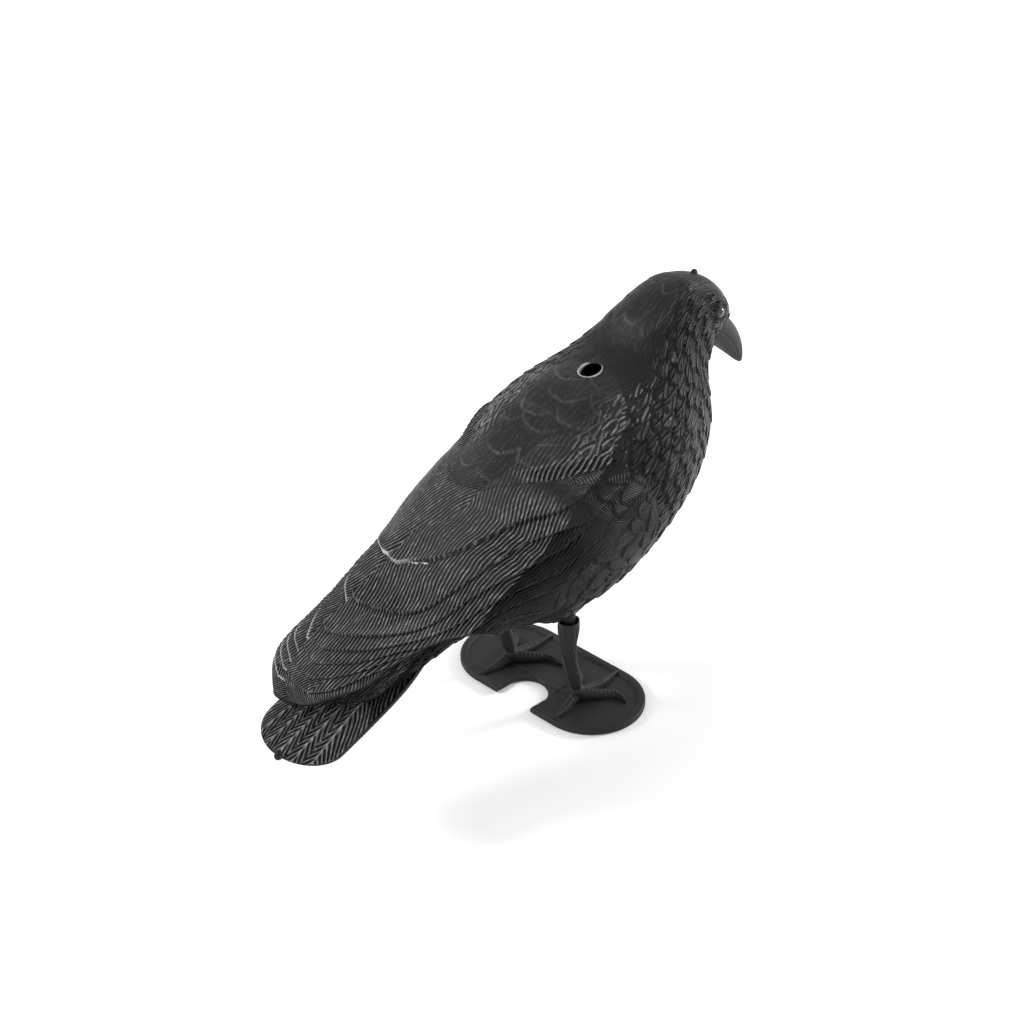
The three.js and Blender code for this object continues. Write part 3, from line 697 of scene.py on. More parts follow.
    # Painted shade: darker along the edges of the feathers above, where they overhang the ones
    # below
    dark = np.exp(-gap / 0.8) * fade
    return skin_object(name, points, (np.pad(lines, pad + [(0, 0)]),
                                      np.pad(middle(amount * fade) * 1.5, pad)),
                       (-along / 10, np.pad(w, pad, mode="edge") / 10),
                       (np.pad(pale, pad), np.pad(dark, pad)))


def tail_skin():
    """The fanned tail: a thin arched plate whose feathers fan out, the inner ones on top. Each
    has a raised shaft and deep barbs that slant to its end, and the round end stays smooth."""
    share = np.sin(np.linspace(0, 1, 231) * math.pi / 2)
    length = TAIL_ROOT - TAIL_END
    end = (1 - share) * length
    close = rounded(end / 20) * rounded(share / 0.2)
    count = 168
    q = np.sin(np.concatenate([np.linspace(-1, 1, count),
                               np.linspace(1, -1, 56)[1:]]) * math.pi / 2)
    upper = np.arange(len(q)) < count
    across = (through(TAIL, 1, share) * close)[:, None] * q
    deep = (through(TAIL, 3, share) * close)[:, None] * (1 - np.abs(q) ** 3) ** (1 / 3)
    along = np.broadcast_to((TAIL_ROOT - length * share)[:, None], across.shape)
    above = through(TAIL, 2, share)[:, None] - TAIL_ARCH * across**2 + (
        np.where(upper, 0.1 * deep, -deep) - 0.4)
    s, far = -along, end[:, None]

    def spread(s):
        """The width of a feather, which grows as they fan out."""
        return 4.2 + 6.4 * np.clip((s + TAIL_ROOT) / length, 0, 1)

    def barbs(key, s, across):
        x = across - key * spread(s)
        lean = np.radians(24 + 3 * np.sin(2.1 * key))
        return (s * np.sin(lean) - np.abs(x) * np.cos(lean)) / 2.15 + 0.31 * key + (
            0.3 * np.sin(0.17 * s + key) + 0.2 * np.sin(0.5 * x + key))

    width = spread(s)
    key = np.clip(np.round(across / width), -2, 2)
    x = across - key * width
    outer = np.where(key == 0, np.abs(x), x * np.sign(key)) / width
    edge = np.clip(outer + 0.5, 0, 1) * width
    height = 0.5 * outer + 0.35 * (0.25 - (x / width) ** 2) + 0.7 * bell(x, 0.42)
    height -= 0.7 * np.exp(-edge / 0.35) * (key != 0)
    plain = smooth(1.2, 3.2, far) * smooth(0, 2.0, (1 - np.abs(q)) * 29)
    amount = 0.65 * plain * (0.8 + 0.2 * waves(s / 15, across / 8, 0.7))
    height = height * plain + amount * (0.5 * np.cos(2 * math.pi * barbs(key, s, across)) - 0.3)
    height = np.where(upper, height - 0.25, -0.35 * height)
    points = bird_point(along, across, above + height * rounded(share / 0.08)[:, None])
    points[:, -1] = points[:, 0]
    face_key = np.clip(np.round(middle(across) / spread(middle(s))), -2, 2)[..., None]
    depth = middle(amount * np.where(upper, 1.0, 0.5)) * 1.3
    shown = plain * upper
    # Painted highlight: a pale line along each feather's raised shaft towards the end
    pale = 0.3 * bell(x, 0.45) * shown * smooth(-2, 14, 60 - far)
    # Painted shade: darker along the edges where the feathers overlap
    return skin_object("tail", points, (barbs(face_key, corners(s), corners(across)), depth),
                       (s / 10, across / 10), (pale, np.exp(-edge / 0.5) * (key != 0) * shown))


def bill_skin():
    """The bill: an ellipse along a straight line that tapers, bows upwards and hooks at its end,
    with the groove of the gape along both sides."""
    base, tip = np.array([198, 33.0]), np.array([210.6, -19.2])
    length = np.linalg.norm(tip - base)
    ahead, down = (tip - base) / length
    v, angle = grid(np.linspace(0, 1, 90), circle(73))
    taper = rounded(v / 0.04) * np.maximum(1 - v**1.9, 0) ** 0.6
    n = 10.3 * taper * np.sin(angle)
    gape = bell(n + 1.6 + 1.2 * v, 0.55) * band(v, 0.02, 0.2, 0.8, 0.97)
    across = 8.85 * taper * (1 - 0.35 * v) * np.cos(angle) * (1 - 0.09 * gape)
    n = n + 0.045 * length * np.sin(math.pi * v) - 1.2 * v**6
    far = length * v * 0.985
    points = bird_point(base[0] + ahead * far - down * n, across, base[1] + down * far + ahead * n)
    return skin_object("bill", points, None, (v * 5, angle))


def unit_ball(rows, cols):
    """The angles of a ball's rings and round them, and its points."""
    v, u = grid(np.linspace(0, math.pi, rows), circle(cols + 1))
    return v, u, np.stack([np.sin(v) * np.cos(u), np.sin(v) * np.sin(u), np.cos(v)], -1)


def ball(name, centre, radii):
    """A closed round of given radii about a centre in metres."""
    return skin_object(name, np.asarray(centre) + unit_ball(28, 40)[2] * np.asarray(radii))


def thigh_skin(name, side):
    """A feathered lobe under the belly: a round of three radii, raised by rows of feathers."""
    v, u, unit = unit_ball(90, 120)
    centre = np.array([-CUFF_BACK - 6, side * (LEG_SPACING / 2 - 1), LEG_HEIGHT + 25])
    points = centre + unit * np.array([29, 14.5, 20.0])
    s, w = -points[..., 0], u * 16
    row, col, _, t, gap = scales(THIGH, s, w)
    phase = scale_strokes(THIGH, row, col, s, w)
    height = 0.4 * (t * 2.1 - 1.6) - 0.3 * np.exp(-gap / 0.5)
    height += 0.2 * (0.5 * np.cos(2 * math.pi * phase) - 0.4)
    points = points + unit * (height * np.sin(v) ** 0.5 - 0.5)[..., None]
    lines, _ = face_strokes(THIGH, s, w)
    return skin_object(name, points * MM, (lines, np.full(lines.shape[:2], 0.25)),
                       (s / 10, w / 10))


def peg_skin(name, side):
    """The peg under a thigh: a round rod that narrows a little downwards, with a rounded end."""
    v, knots = np.linspace(0, 1, 60), np.linspace(0, 1, 6)
    z = LEG_HEIGHT - PEG_REACH + (24 + PEG_REACH) * np.interp(
        v, knots, [0, 0.02, 0.05, 0.1, 1, 1])
    r = PEG_RADIUS * np.interp(v, knots, [0, 0.8, 0.9, 0.92, 1, 0])
    r, u = grid(r, circle(49))
    x, y = -CUFF_BACK + r * np.cos(u), side * LEG_SPACING / 2 + r * np.sin(u)
    points = np.stack([x, y, np.broadcast_to(z[:, None], x.shape)], -1) * MM
    return skin_object(name, points, None, (x / 10, y / 10))


def plate_skin():
    """The stand's plate: across its width from one outline to the other, at each place along it.
    Its top is a dished floor inside a raised rim, and its edges are rounded."""
    turn = np.sin(np.linspace(-1, 1, 181) * math.pi / 2)
    ys = np.concatenate([turn * (PLATE_ROUND + PLATE_STRAIGHT), [-14.0, -14.001, 14.0, 14.001],
                         np.linspace(-NOTCH_ROUND, NOTCH_ROUND, 41)])
    ys = np.unique(np.round(ys, 5))
    over = np.maximum(np.abs(ys) - PLATE_STRAIGHT, 0)
    reach = np.sqrt(np.maximum(PLATE_ROUND**2 - over**2, 0))
    low = np.where(np.abs(ys) <= NOTCH_ROUND,
                   NOTCH_MIDDLE + np.sqrt(np.maximum(NOTCH_ROUND**2 - ys**2, 0)), -reach)
    t = (1 - np.cos(np.linspace(0, math.pi, 97))) / 2
    x = low[:, None] + (reach - low)[:, None] * t
    y = np.broadcast_to(ys[:, None], x.shape)
    inside = PLATE_ROUND - np.hypot(x, over[:, None])
    notch = np.where(x < NOTCH_MIDDLE, np.abs(y), np.hypot(x - NOTCH_MIDDLE, y)) - NOTCH_ROUND
    edge = np.minimum(inside, notch)
    rim = 1 - smooth(4.0, 5.0, inside)
    top = PLATE_FLOOR + 1.4 * rim - 0.25 * smooth(5, 20, inside) * (1 - rim) + 0.15
    top = np.minimum(top, PLATE_TOP) - 1.2 * (1 - rounded(edge / 1.2))
    top = top + 0.85 * np.exp(-((x + 7) / 1.1) ** 4) * (1 - smooth(27, 28, np.abs(y)))
    bottom = np.maximum(0.6 * (1 - rounded(edge / 0.8)), 0)
    upper, under = np.stack([x, y, top], -1), np.stack([x, y, bottom], -1)[:, ::-1]
    ring = np.concatenate([upper, under, upper[:, :1]], 1)
    return skin_object("plate", ring * MM, None, (ring[..., 0] / 10, ring[..., 1] / 10))


def leg_skin(name, side):
    """A leg and its open cuff: rings up a line that leans back and then stands, over the cuff's
    rim and down inside it. A keel runs down the back; strokes mark the upper half and scutes
    cross the shin."""
    shank, foot, outer = 8.2, 7.6, 150
    rows = np.array([[0, shank * 0.3], [0.15, shank * 0.44], [0.45, shank * 0.44],
                     [0.7, shank * 0.6], [0.92, CUFF_OUTER], [1, CUFF_OUTER]])
    rise = np.concatenate([np.linspace(0, 0.992, outer), [1, 1, 0.995], np.linspace(0.98, 0.82, 14),
                           [0.815, 0.815]])
    radius = through(rows, 1, rise)
    radius[outer:] = np.concatenate([[CUFF_OUTER - 0.2, CUFF_INNER + 0.25, CUFF_INNER],
                                     np.full(14, CUFF_INNER - 0.05), [CUFF_INNER - 0.3, 0]])
    radius[0] = 0
    rise, angle = grid(rise, circle(97))
    inside = np.arange(len(rise))[:, None] >= outer
    fin = np.maximum(-np.cos(angle), 0) ** 6 * np.sin(math.pi * np.minimum(rise / 0.95, 1)) ** 2
    keel = np.where(inside, 1, 1 + 0.7 * (fin + 0.2 * np.maximum(np.cos(angle), 0) ** 6))
    z = foot + (LEG_HEIGHT - foot) * rise
    front = smooth(-0.5, 0.2, np.cos(angle))
    scute = 0.35 * band(rise, 0.06, 0.14, 0.4, 0.5) * (
        np.abs(np.sin(math.pi * z / 3.0)) ** 0.5 - 0.7) * (0.3 + 0.7 * front)
    feather = 0.22 * band(rise, 0.45, 0.6, 0.93, 0.97) * np.cos(
        13 * angle + 0.5 * np.sin(z / 2.3) + z / 5)
    r = radius[:, None] * keel + np.where(inside, 0, scute + feather - 0.15)
    r[0] = r[-1] = 0
    x = -FOOT_BACK - 9.0 * np.minimum(rise / 0.7, 1) + r * np.cos(angle)
    y = side * LEG_SPACING / 2 + r * np.sin(angle)
    return skin_object(name, np.stack([x, y, z], -1) * MM, None, (z / 10, angle))


def toe_skin(name, side, joint, claw):
    """A toe: rings of a wider than high ellipse along a line from the foot to the claw's end,
    crossed by scales as far as the claw, which is smooth."""
    r = 3.2

    def knot(end, share, *rest):
        return (end[0] * share - FOOT_BACK, side * (LEG_SPACING / 2 + end[1] * share), *rest)

    knots = np.array([
        knot(joint, -0.12, PLATE_FLOOR + HUB_HEIGHT * 0.5, r * 1.05, HUB_HEIGHT * 0.5),
        knot(joint, 0.5, PLATE_FLOOR + HUB_HEIGHT * 0.26, r * 0.9, HUB_HEIGHT * 0.36),
        knot(joint, 1, PLATE_FLOOR + 0.6, r * 0.8, r),
        knot(claw, 1, 3.7, 0.8, 1.2)])
    rows = np.concatenate([np.linspace(0, 1, 4)[:, None], knots], 1)
    v = np.linspace(0, 1, 120)
    *centre, wide, high = (through(rows, k, v) for k in range(1, 6))
    centre = np.stack(centre, -1)
    step = np.gradient(centre, axis=0)
    far = np.cumsum(np.linalg.norm(step, axis=1))
    ahead = step / np.linalg.norm(step, axis=1, keepdims=True)
    across = np.cross([0, 0, 1.0], ahead)
    across /= np.linalg.norm(across, axis=1, keepdims=True)
    up = np.cross(ahead, across)
    close = (rounded(v / 0.04) * rounded((1 - v) / 0.08))[:, None]
    angle = circle(41)
    ridges = 0.4 * band(v, 0.12, 0.2, 0.62, 0.72) * (
        np.abs(np.sin(math.pi * far / 2.6)) ** 0.6 - 0.75) + 0.3 * bell(v - 0.68, 0.012)
    swell = ridges[:, None] * np.maximum(np.sin(angle), 0) - 0.1
    a, h = (wide[:, None] + swell) * close, (high[:, None] + swell) * close
    points = (centre[:, None] + across[:, None] * (a * np.cos(angle))[..., None]
              + up[:, None] * (h * np.sin(angle))[..., None])
    points[..., 2] = np.maximum(points[..., 2], 0.5)
    return skin_object(name, points * MM, None, (np.broadcast_to(far[:, None] / 10, a.shape), a))


# Shader groups and materials

def node(tree, kind, inputs, out=0, **settings):
    """Adds a shader node with its settings. Each input is a socket to link or a constant.
    Returns one output."""
    made = tree.nodes.new("ShaderNode" + kind)
    for key, value in settings.items():
        setattr(made, key, value)
    for key, value in inputs.items():
        if isinstance(value, bpy.types.NodeSocket):
            tree.links.new(value, made.inputs[key])
        else:
            made.inputs[key].default_value = value
    return made.outputs[out]


def maths(tree, operation, *values, clamp=False):
    return node(tree, "Math", dict(enumerate(values)), operation=operation, use_clamp=clamp)


def ramp(tree, value, low, high, to_low=0.0, to_high=1.0):
    """A soft step of a value between two levels."""
    return node(tree, "MapRange", dict(enumerate((value, low, high, to_low, to_high))),
                interpolation_type="SMOOTHSTEP")


def mix_colour(tree, factor, *colours):
    first, second = ((*c, 1.0) if isinstance(c, tuple) else c for c in colours)
    return node(tree, "Mix", {0: factor, 6: first, 7: second}, 2, data_type="RGBA")


def bump(tree, height, distance, strength, **under):
    return node(tree, "Bump", {"Strength": strength, "Distance": distance, "Height": height,
                               **under})


def parts_of(tree, vector):
    return node(tree, "SeparateXYZ", {0: vector}).node.outputs


def new_group(name, *outputs, **inputs):
    """An empty shader group that puts out numbers. An input without a value is a vector."""
    group = bpy.data.node_groups.new(name, "ShaderNodeTree")
    for label, value in inputs.items():
        kind = "NodeSocketVector" if value is None else "NodeSocketFloat"
        socket = group.interface.new_socket(label, in_out="INPUT", socket_type=kind)
        if value is not None:
            socket.default_value = value
    for label in outputs:
        group.interface.new_socket(label, in_out="OUTPUT", socket_type="NodeSocketFloat")
    return group, group.nodes.new("NodeGroupInput").outputs


def put_out(group, **values):
    target = group.nodes.new("NodeGroupOutput")
    for label, value in values.items():
        group.links.new(value, target.inputs[label])


def use_group(tree, name, inputs):
    return node(tree, "Group", inputs, node_tree=bpy.data.node_groups[name]).node.outputs


def barbs_group():
    """Moulded barbs from the strokes map: a cosine of the phase, deep by the second value, and the
    mask of their crests, which carries a painted highlight.
    """
    group, given = new_group("moulded_barbs", "Height", "Crest", Strokes=None)
    phase, depth, _ = parts_of(group, given["Strokes"])
    wave = maths(group, "COSINE", maths(group, "MULTIPLY", phase, 2 * math.pi))
    half = maths(group, "MULTIPLY_ADD", wave, 0.5, 0.5)
    put_out(group,
            Height=maths(group, "MULTIPLY", maths(group, "POWER", half, 0.8), depth),
            Crest=maths(group, "MULTIPLY", maths(group, "POWER", half, 3.0),
                        maths(group, "MULTIPLY", depth, 2.5, clamp=True)))


def hair_group():
    """Fine hairs along the flow map: noise drawn out along the body."""
    group, given = new_group("fine_hairs", "Height", Flow=None, Across=6.5, Along=1.3)
    stretch = node(group, "CombineXYZ", {0: given["Along"], 1: given["Across"]})
    place = node(group, "VectorMath", {0: given["Flow"], 1: stretch}, operation="MULTIPLY")
    put_out(group, Height=node(group, "TexNoise", {
        "Vector": place, "Scale": 1.0, "Detail": 3.0, "Roughness": 0.6}, noise_dimensions="2D"))


def grain_group():
    """The fine grain and slow unevenness of a moulded plastic skin, on object coordinates."""
    group, given = new_group("plastic_grain", "Height", "Patches", Point=None, Grain=900.0,
                             Patch=22.0)
    point = given["Point"]
    put_out(group,
            Height=node(group, "TexNoise", {"Vector": point, "Scale": given["Grain"]}),
            Patches=node(group, "TexNoise", {"Vector": point, "Scale": given["Patch"],
                                             "Detail": 4.0}))


def rim_group():
    """The pale raw ring round the hole, from the distance of the point to the hole's axis, and a
    painted shade that darkens the hollow's inside below the hole."""
    group, given = new_group("raw_rim", "Rim", "Inside", Point=None)
    point = given["Point"]
    shift = node(group, "VectorMath", {0: point, 1: tuple(bird_point(*HOLE))},
                 operation="SUBTRACT")
    turned = node(group, "VectorRotate", {"Vector": shift, "Angle": PITCH}, rotation_type="Y_AXIS")
    x, y, z = parts_of(group, turned)
    square = maths(group, "ADD", maths(group, "MULTIPLY", x, x), maths(group, "MULTIPLY", y, y))
    noise = node(group, "TexNoise", {"Vector": point, "Scale": 260.0})
    far = maths(group, "ADD", maths(group, "MULTIPLY", noise, 0.0016),
                maths(group, "SQRT", square))
    put_out(group,
            Rim=maths(group, "MULTIPLY", ramp(group, far, 0.0078, 0.0083, 1.0, 0.0),
                      ramp(group, z, -0.0016, -0.0006)),
            Inside=ramp(group, z, -0.0016, -0.0008, 1.0, 0.0))


def new_material(name, **constants):
    """A material's tree, its shader with constants set on it, and the object coordinates."""
    material = bpy.data.materials.new(name)
    material.use_nodes = True
    tree = material.node_tree
    shader = tree.nodes["Principled BSDF"].inputs
    for label, value in constants.items():
        shader[label.replace("_", " ")].default_value = value
    return material, tree, shader, node(tree, "TexCoord", {}, "Object")


# How much of the painted highlight tone shows on the raised hairs and on the barb crests, and
# how high both stand in metres
HAIR_TONE, BARB_TONE = 0.045, 0.42
HAIR_RISE, BARB_RISE = 0.0004, 0.0012


def plastic(name, dark, light, roughness, raw=None, highlight=None, grain=0.00006):
    """Moulded plastic: near-black, with slow patches, fine grain and a painted highlight on thin
    convex edges. On the feathers, where a highlight tone is given, it has barbs and hairs, with
    painted highlights on crests, edges and shafts and painted shade in the grooves."""
    made = bpy.data.materials.get(name)
    if made:
        return made
    material, tree, shader, point = new_material(name, IOR=1.5, Specular_IOR_Level=0.19)
    skin = use_group(tree, "plastic_grain", {"Point": point})
    patches = ramp(tree, skin["Patches"], 0.35, 0.65)
    colour = mix_colour(tree, patches, dark, light)
    rough = maths(tree, "MULTIPLY_ADD", patches, 0.08, roughness)
    normal = bump(tree, skin["Height"], grain, 0.5)
    if highlight:
        maps = [node(tree, "UVMap", {}, uv_map=key) for key in ("strokes", "flow", "marks")]
        barbs = use_group(tree, "moulded_barbs", {"Strokes": maps[0]})
        hairs = use_group(tree, "fine_hairs", {"Flow": maps[1]})["Height"]
        pale, groove_shade, _ = parts_of(tree, maps[2])
        normal = bump(tree, hairs, HAIR_RISE, 0.8, Normal=normal)
        normal = bump(tree, barbs["Height"], BARB_RISE, 1.0, Normal=normal)
        # Painted highlight: the raised hairs and the barb crests are lighter
        fibre = ramp(tree, hairs, 0.5, 0.68)
        colour = mix_colour(tree, maths(tree, "MULTIPLY", fibre, 0.5), colour,
                            tuple(c * HAIR_TONE for c in highlight))
        crest = maths(tree, "MULTIPLY", barbs["Crest"],
                      maths(tree, "MULTIPLY_ADD", fibre, 0.6, 0.4))
        colour = mix_colour(tree, crest, colour, tuple(c * BARB_TONE for c in highlight))
        # Painted shade: the grooves at the feathers' edges are darkened
        groove = maths(tree, "MULTIPLY", groove_shade, 0.75, clamp=True)
        colour = mix_colour(tree, groove, colour, (0.001, 0.001, 0.001))
        # Painted highlight: pale edges, outlines and shafts of the feathers
        colour = mix_colour(tree, pale, colour, highlight)
        rough = maths(tree, "SUBTRACT", rough, maths(tree, "MULTIPLY", barbs["Crest"], 0.08))
        rough = maths(tree, "ADD", rough, maths(tree, "MULTIPLY", groove, 0.4), clamp=True)
    # Painted highlight: thin convex edges are lighter, on the bird and the stand
    edge = ramp(tree, node(tree, "NewGeometry", {}, "Pointiness"), 0.52, 0.62)
    colour = mix_colour(tree, maths(tree, "MULTIPLY", edge, 0.5), colour,
                        tuple(c * 3 + 0.01 for c in light))
    if raw:
        rim = use_group(tree, "raw_rim", {"Point": point})
        colour = mix_colour(tree, rim["Rim"], colour, raw)
        # Painted shade: the hollow's inside is darkened
        colour = mix_colour(tree, rim["Inside"], colour, (0.004, 0.004, 0.004))
    for label, value in (("Base Color", colour), ("Roughness", rough), ("Normal", normal)):
        tree.links.new(value, shader[label])
    return material


def glossy_eye(name, colour):
    """The eye: glossy black, a little uneven by object coordinates."""
    material, tree, shader, point = new_material(name, Coat_Weight=0.6, Coat_Roughness=0.05)
    patches = use_group(tree, "plastic_grain", {"Point": point, "Patch": 160.0})["Patches"]
    tree.links.new(mix_colour(tree, patches, colour, tuple(c * 1.6 for c in colour)),
                   shader["Base Color"])
    tree.links.new(maths(tree, "MULTIPLY_ADD", patches, 0.1, 0.12), shader["Roughness"])
    return material


def floor_material(colour):
    """A plain pale floor with a barely uneven roughness."""
    material, tree, shader, point = new_material("studio_floor", Base_Color=(*colour, 1),
                                                 Specular_IOR_Level=0.2)
    noise = node(tree, "TexNoise", {"Vector": point, "Scale": 6.0})
    tree.links.new(ramp(tree, noise, 0.3, 0.7, 0.75, 0.85), shader["Roughness"])
    return material


def colour_property(name, description, default):
    return FloatVectorProperty(name=name, description=description, subtype="COLOR", size=3,
                               min=0, max=1, default=default)


def number_property(name, description, low, high, default, **kind):
    return FloatProperty(name=name, description=description, min=low, max=high, default=default,
                         **kind)


class CROWDECOY_bird_sizes(PropertyGroup):
    bird_dark: colour_property("Bird, dark", "Darker tone of the bird's plastic",
                               (0.0062, 0.0062, 0.0070))
    bird_light: colour_property("Bird, light", "Lighter tone of the bird's plastic",
                                (0.0095, 0.0095, 0.0106))
    raw_rim: colour_property("Raw rim", "Tone of the cut plastic at the hole", (0.32, 0.32, 0.31))
    # The tone of the painted highlights on the feathers' edges, outlines, shafts, barb crests and
    # raised hairs
    highlight_tone: colour_property("Painted highlight", "Tone of the painted highlights on feather edges, crests and hairs",
                               (0.62, 0.62, 0.62))
    eye_tone: colour_property("Eye", "Tone of the glossy eyes", (0.006, 0.006, 0.006))
    bird_gloss: number_property("Bird roughness", "Roughness of the bird's plastic", 0.05, 1, 0.36,
                                subtype="FACTOR")
    eye_size: number_property("Eye", "Diameter of an eye", 0.002, 0.02, 0.0075, unit="LENGTH")
    hole_size: number_property("Hole", "Diameter of the hole in the back", 0.004, 0.02, 0.0124,
                               unit="LENGTH")


class CROWDECOY_stand_sizes(PropertyGroup):
    stand_dark: colour_property("Stand, dark", "Darker tone of the stand", (0.014, 0.014, 0.0135))
    stand_light: colour_property("Stand, light", "Lighter tone of the stand",
                                 (0.02, 0.02, 0.0192))
    stand_gloss: number_property("Stand roughness", "Roughness of the stand", 0.05, 1, 0.5,
                                 subtype="FACTOR")


class CROWDECOY_stage_sizes(PropertyGroup):
    floor_tone: colour_property("Floor", "Tone of the floor", (0.94, 0.94, 0.94))
    floor_size: number_property("Floor", "Width of the floor", 1, 20, 16.0, unit="LENGTH")
    key_power: number_property("Lamps", "Power of the lamps", 0, 500, 16.0, unit="POWER")
    sky: number_property("Sky", "Strength of the even light all round", 0, 2, 1.0)
    lens: number_property("Lens", "Focal length of the camera in millimetres", 20, 200, 63.28)


def feathered(sizes):
    """The plastic of the body, wings, tail and thighs."""
    return plastic("bird_skin", tuple(sizes.bird_dark), tuple(sizes.bird_light),
                   sizes.bird_gloss, tuple(sizes.raw_rim), tuple(sizes.highlight_tone))


def smooth_bird(sizes):
    """The plastic of the bill, nubs and pegs."""
    return plastic("bill_skin", tuple(sizes.bird_dark), tuple(sizes.bird_light),
                   sizes.bird_gloss + 0.1)


class CROWDECOY_OT_groups(Operator):
    """Make the shader groups that the materials share"""
    bl_idname = "crow_decoy.groups"
    bl_label = "Shader groups"

    def execute(self, context):
        barbs_group()
        hair_group()
        grain_group()
        rim_group()
        return {"FINISHED"}


class CROWDECOY_OT_body(Operator):
    """Make the torso and head, with the hole in the back"""
    bl_idname = "crow_decoy.body"
    bl_label = "Body and head"

    def execute(self, context):
        sizes = context.scene.crow_decoy_bird
        dress(body_skin(sizes), feathered(sizes), "bird")
        return {"FINISHED"}


class CROWDECOY_OT_wings(Operator):
    """Make both folded wings"""
    bl_idname = "crow_decoy.wings"
    bl_label = "Wings"

    def execute(self, context):
        skin = feathered(context.scene.crow_decoy_bird)
        for name, side in (("wing_right", -1), ("wing_left", 1)):
            dress(wing_skin(name, side), skin, "bird")
        return {"FINISHED"}


class CROWDECOY_OT_tail(Operator):
    """Make the fanned tail"""
    bl_idname = "crow_decoy.tail"
    bl_label = "Tail"

    def execute(self, context):
        dress(tail_skin(), feathered(context.scene.crow_decoy_bird), "bird")
        return {"FINISHED"}


class CROWDECOY_OT_head_parts(Operator):
    """Make the bill, the eyes and the nubs of the parting line"""
    bl_idname = "crow_decoy.head_parts"
    bl_label = "Bill, eyes and nubs"

    def execute(self, context):
        sizes = context.scene.crow_decoy_bird
        dress(bill_skin(), smooth_bird(sizes), "bird")
        eye = glossy_eye("eye_gloss", tuple(sizes.eye_tone))
        for name, side in (("eye_left", 1), ("eye_right", -1)):
            centre = bird_point(EYE_ALONG, side * EYE_ACROSS, EYE_ABOVE)
            dress(ball(name, centre, [sizes.eye_size / 2] * 3), eye, "bird")
        for name, along, above, size in (("nub_crown", 203.0, 74.4, 2.8),
                                         ("nub_tail", -169.0, 98.5, 3.0)):
            nub = ball(name, bird_point(along, 0.0, above),
                       np.array([size, size * 0.7, size]) * MM)
            dress(nub, smooth_bird(sizes), "bird")
        return {"FINISHED"}


class CROWDECOY_OT_thighs(Operator):
    """Make the feathered thighs and their pegs"""
    bl_idname = "crow_decoy.thighs"
    bl_label = "Thighs and pegs"

    def execute(self, context):
        sizes = context.scene.crow_decoy_bird
        for word, side in (("left", 1), ("right", -1)):
            for piece, skin in ((thigh_skin("thigh_" + word, side), feathered(sizes)),
                                (peg_skin("peg_" + word, side), smooth_bird(sizes))):
                dress(piece, skin, "bird")
        return {"FINISHED"}


class CROWDECOY_OT_stand(Operator):
    """Make the plate, the legs and the toes"""
    bl_idname = "crow_decoy.stand"
    bl_label = "Stand"

    def execute(self, context):
        sizes = context.scene.crow_decoy_stand
        matt = plastic("stand_skin", tuple(sizes.stand_dark), tuple(sizes.stand_light),
                       sizes.stand_gloss, grain=0.0001)
        pieces = [plate_skin()]
        for word, side in (("left", 1), ("right", -1)):
            hub = np.array([-FOOT_BACK, side * LEG_SPACING / 2, FOOT_HEIGHT]) * MM
            pieces += [leg_skin("leg_" + word, side),
                       ball("foot_" + word, hub, [FOOT_RADIUS * MM] * 3)]
            pieces += [toe_skin("toe_%s_%d" % (word, k + 1), side, *toe)
                       for k, toe in enumerate(TOES)]
        for piece in pieces:
            dress(piece, matt, "stand")
        return {"FINISHED"}


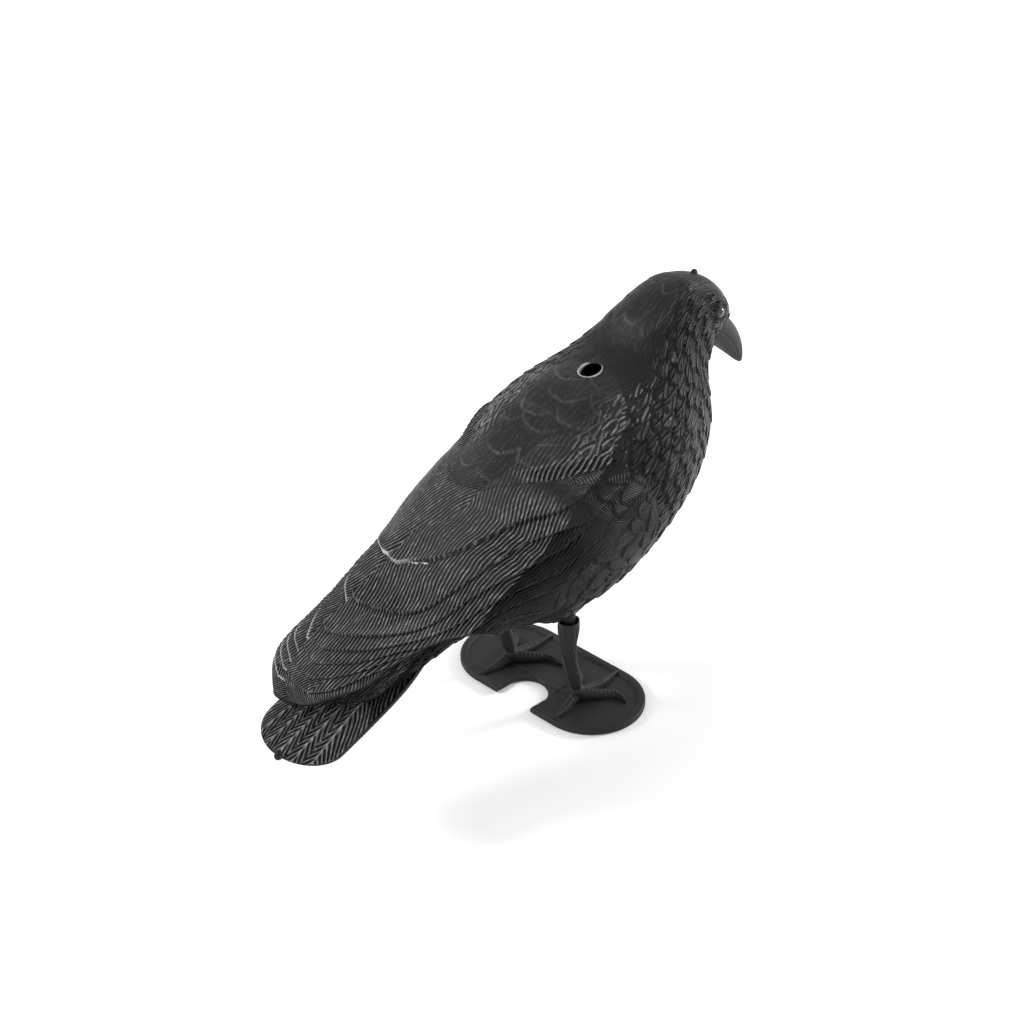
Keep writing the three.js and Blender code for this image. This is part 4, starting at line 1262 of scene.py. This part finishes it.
class CROWDECOY_OT_stage(Operator):
    """Make the floor, the soft lights and the camera"""
    bl_idname = "crow_decoy.stage"
    bl_label = "Stage"

    def execute(self, context):
        sizes, scene = context.scene.crow_decoy_stage, context.scene
        half, level = sizes.floor_size / 2, -0.0003
        mesh = bpy.data.meshes.new("studio_floor")
        mesh.from_pydata([(-half, -half, level), (half, -half, level), (half, half, level),
                          (-half, half, level)], [], [(0, 1, 2, 3)])
        floor = add_object("studio_floor", mesh)
        floor.data.materials.append(floor_material(tuple(sizes.floor_tone)))

        turn, height = math.radians(45.858), math.radians(31.378)
        back = Vector((-math.sin(turn) * math.cos(height), -math.cos(turn) * math.cos(height),
                       math.sin(height)))
        right = Vector((math.cos(turn), -math.sin(turn), 0))
        turned = Matrix((right, back.cross(right), back)).transposed().to_4x4()
        target, distance = Vector((0.014583, 0.047936, 0.094)), 1.1021
        camera = add_object("camera", bpy.data.cameras.new("camera"))
        camera.data.lens = sizes.lens
        camera.data.clip_start = 0.01
        camera.matrix_world = Matrix.Translation(target + back * distance) @ turned
        scene.camera = camera

        aim = Vector((0, 0, 0.13))
        for name, place, size in (("key", (-1.3, 1.1, 1.2), 0.5),
                                  ("side", (1.7, -0.8, 0.75), 0.45)):
            lamp = add_object(name, bpy.data.lights.new(name, "AREA"))
            lamp.data.shape = "DISK"
            lamp.data.size = size
            lamp.data.energy = sizes.key_power * 1.5
            place = Vector(place)
            lamp.matrix_world = Matrix.Translation(place) @ (
                aim - place).to_track_quat("-Z", "Y").to_matrix().to_4x4()
        scene.world = bpy.data.worlds.new("studio")
        scene.world.use_nodes = True
        sky = scene.world.node_tree.nodes["Background"].inputs
        sky["Color"].default_value = (1, 1, 1, 1)
        sky["Strength"].default_value = sizes.sky
        scene.view_settings.view_transform = "Standard"
        return {"FINISHED"}


OPERATORS = (CROWDECOY_OT_groups, CROWDECOY_OT_body, CROWDECOY_OT_wings, CROWDECOY_OT_tail,
             CROWDECOY_OT_head_parts, CROWDECOY_OT_thighs, CROWDECOY_OT_stand,
             CROWDECOY_OT_stage)


class CROWDECOY_PT_panel(Panel):
    """Lists the sizes and the steps of the crow decoy"""
    bl_idname = "CROWDECOY_PT_panel"
    bl_label = "Crow Decoy"
    bl_space_type = "VIEW_3D"
    bl_region_type = "UI"
    bl_category = "Crow Decoy"

    def draw(self, context):
        scene = context.scene
        for group in (scene.crow_decoy_bird, scene.crow_decoy_stand, scene.crow_decoy_stage):
            for key in group.__annotations__:
                self.layout.prop(group, key)
        for operator in OPERATORS:
            self.layout.operator(operator.bl_idname)


CLASSES = (CROWDECOY_bird_sizes, CROWDECOY_stand_sizes, CROWDECOY_stage_sizes, *OPERATORS,
           CROWDECOY_PT_panel)


def register():
    for cls in CLASSES:
        bpy.utils.register_class(cls)
    bpy.types.Scene.crow_decoy_bird = PointerProperty(type=CROWDECOY_bird_sizes)
    bpy.types.Scene.crow_decoy_stand = PointerProperty(type=CROWDECOY_stand_sizes)
    bpy.types.Scene.crow_decoy_stage = PointerProperty(type=CROWDECOY_stage_sizes)


def unregister():
    del bpy.types.Scene.crow_decoy_stage
    del bpy.types.Scene.crow_decoy_stand
    del bpy.types.Scene.crow_decoy_bird
    for cls in reversed(CLASSES):
        bpy.utils.unregister_class(cls)


def main():
    register()
    bpy.ops.crow_decoy.groups()
    bpy.ops.crow_decoy.body()
    bpy.ops.crow_decoy.wings()
    bpy.ops.crow_decoy.tail()
    bpy.ops.crow_decoy.head_parts()
    bpy.ops.crow_decoy.thighs()
    bpy.ops.crow_decoy.stand()
    bpy.ops.crow_decoy.stage()


if __name__ == "__main__":
    main()
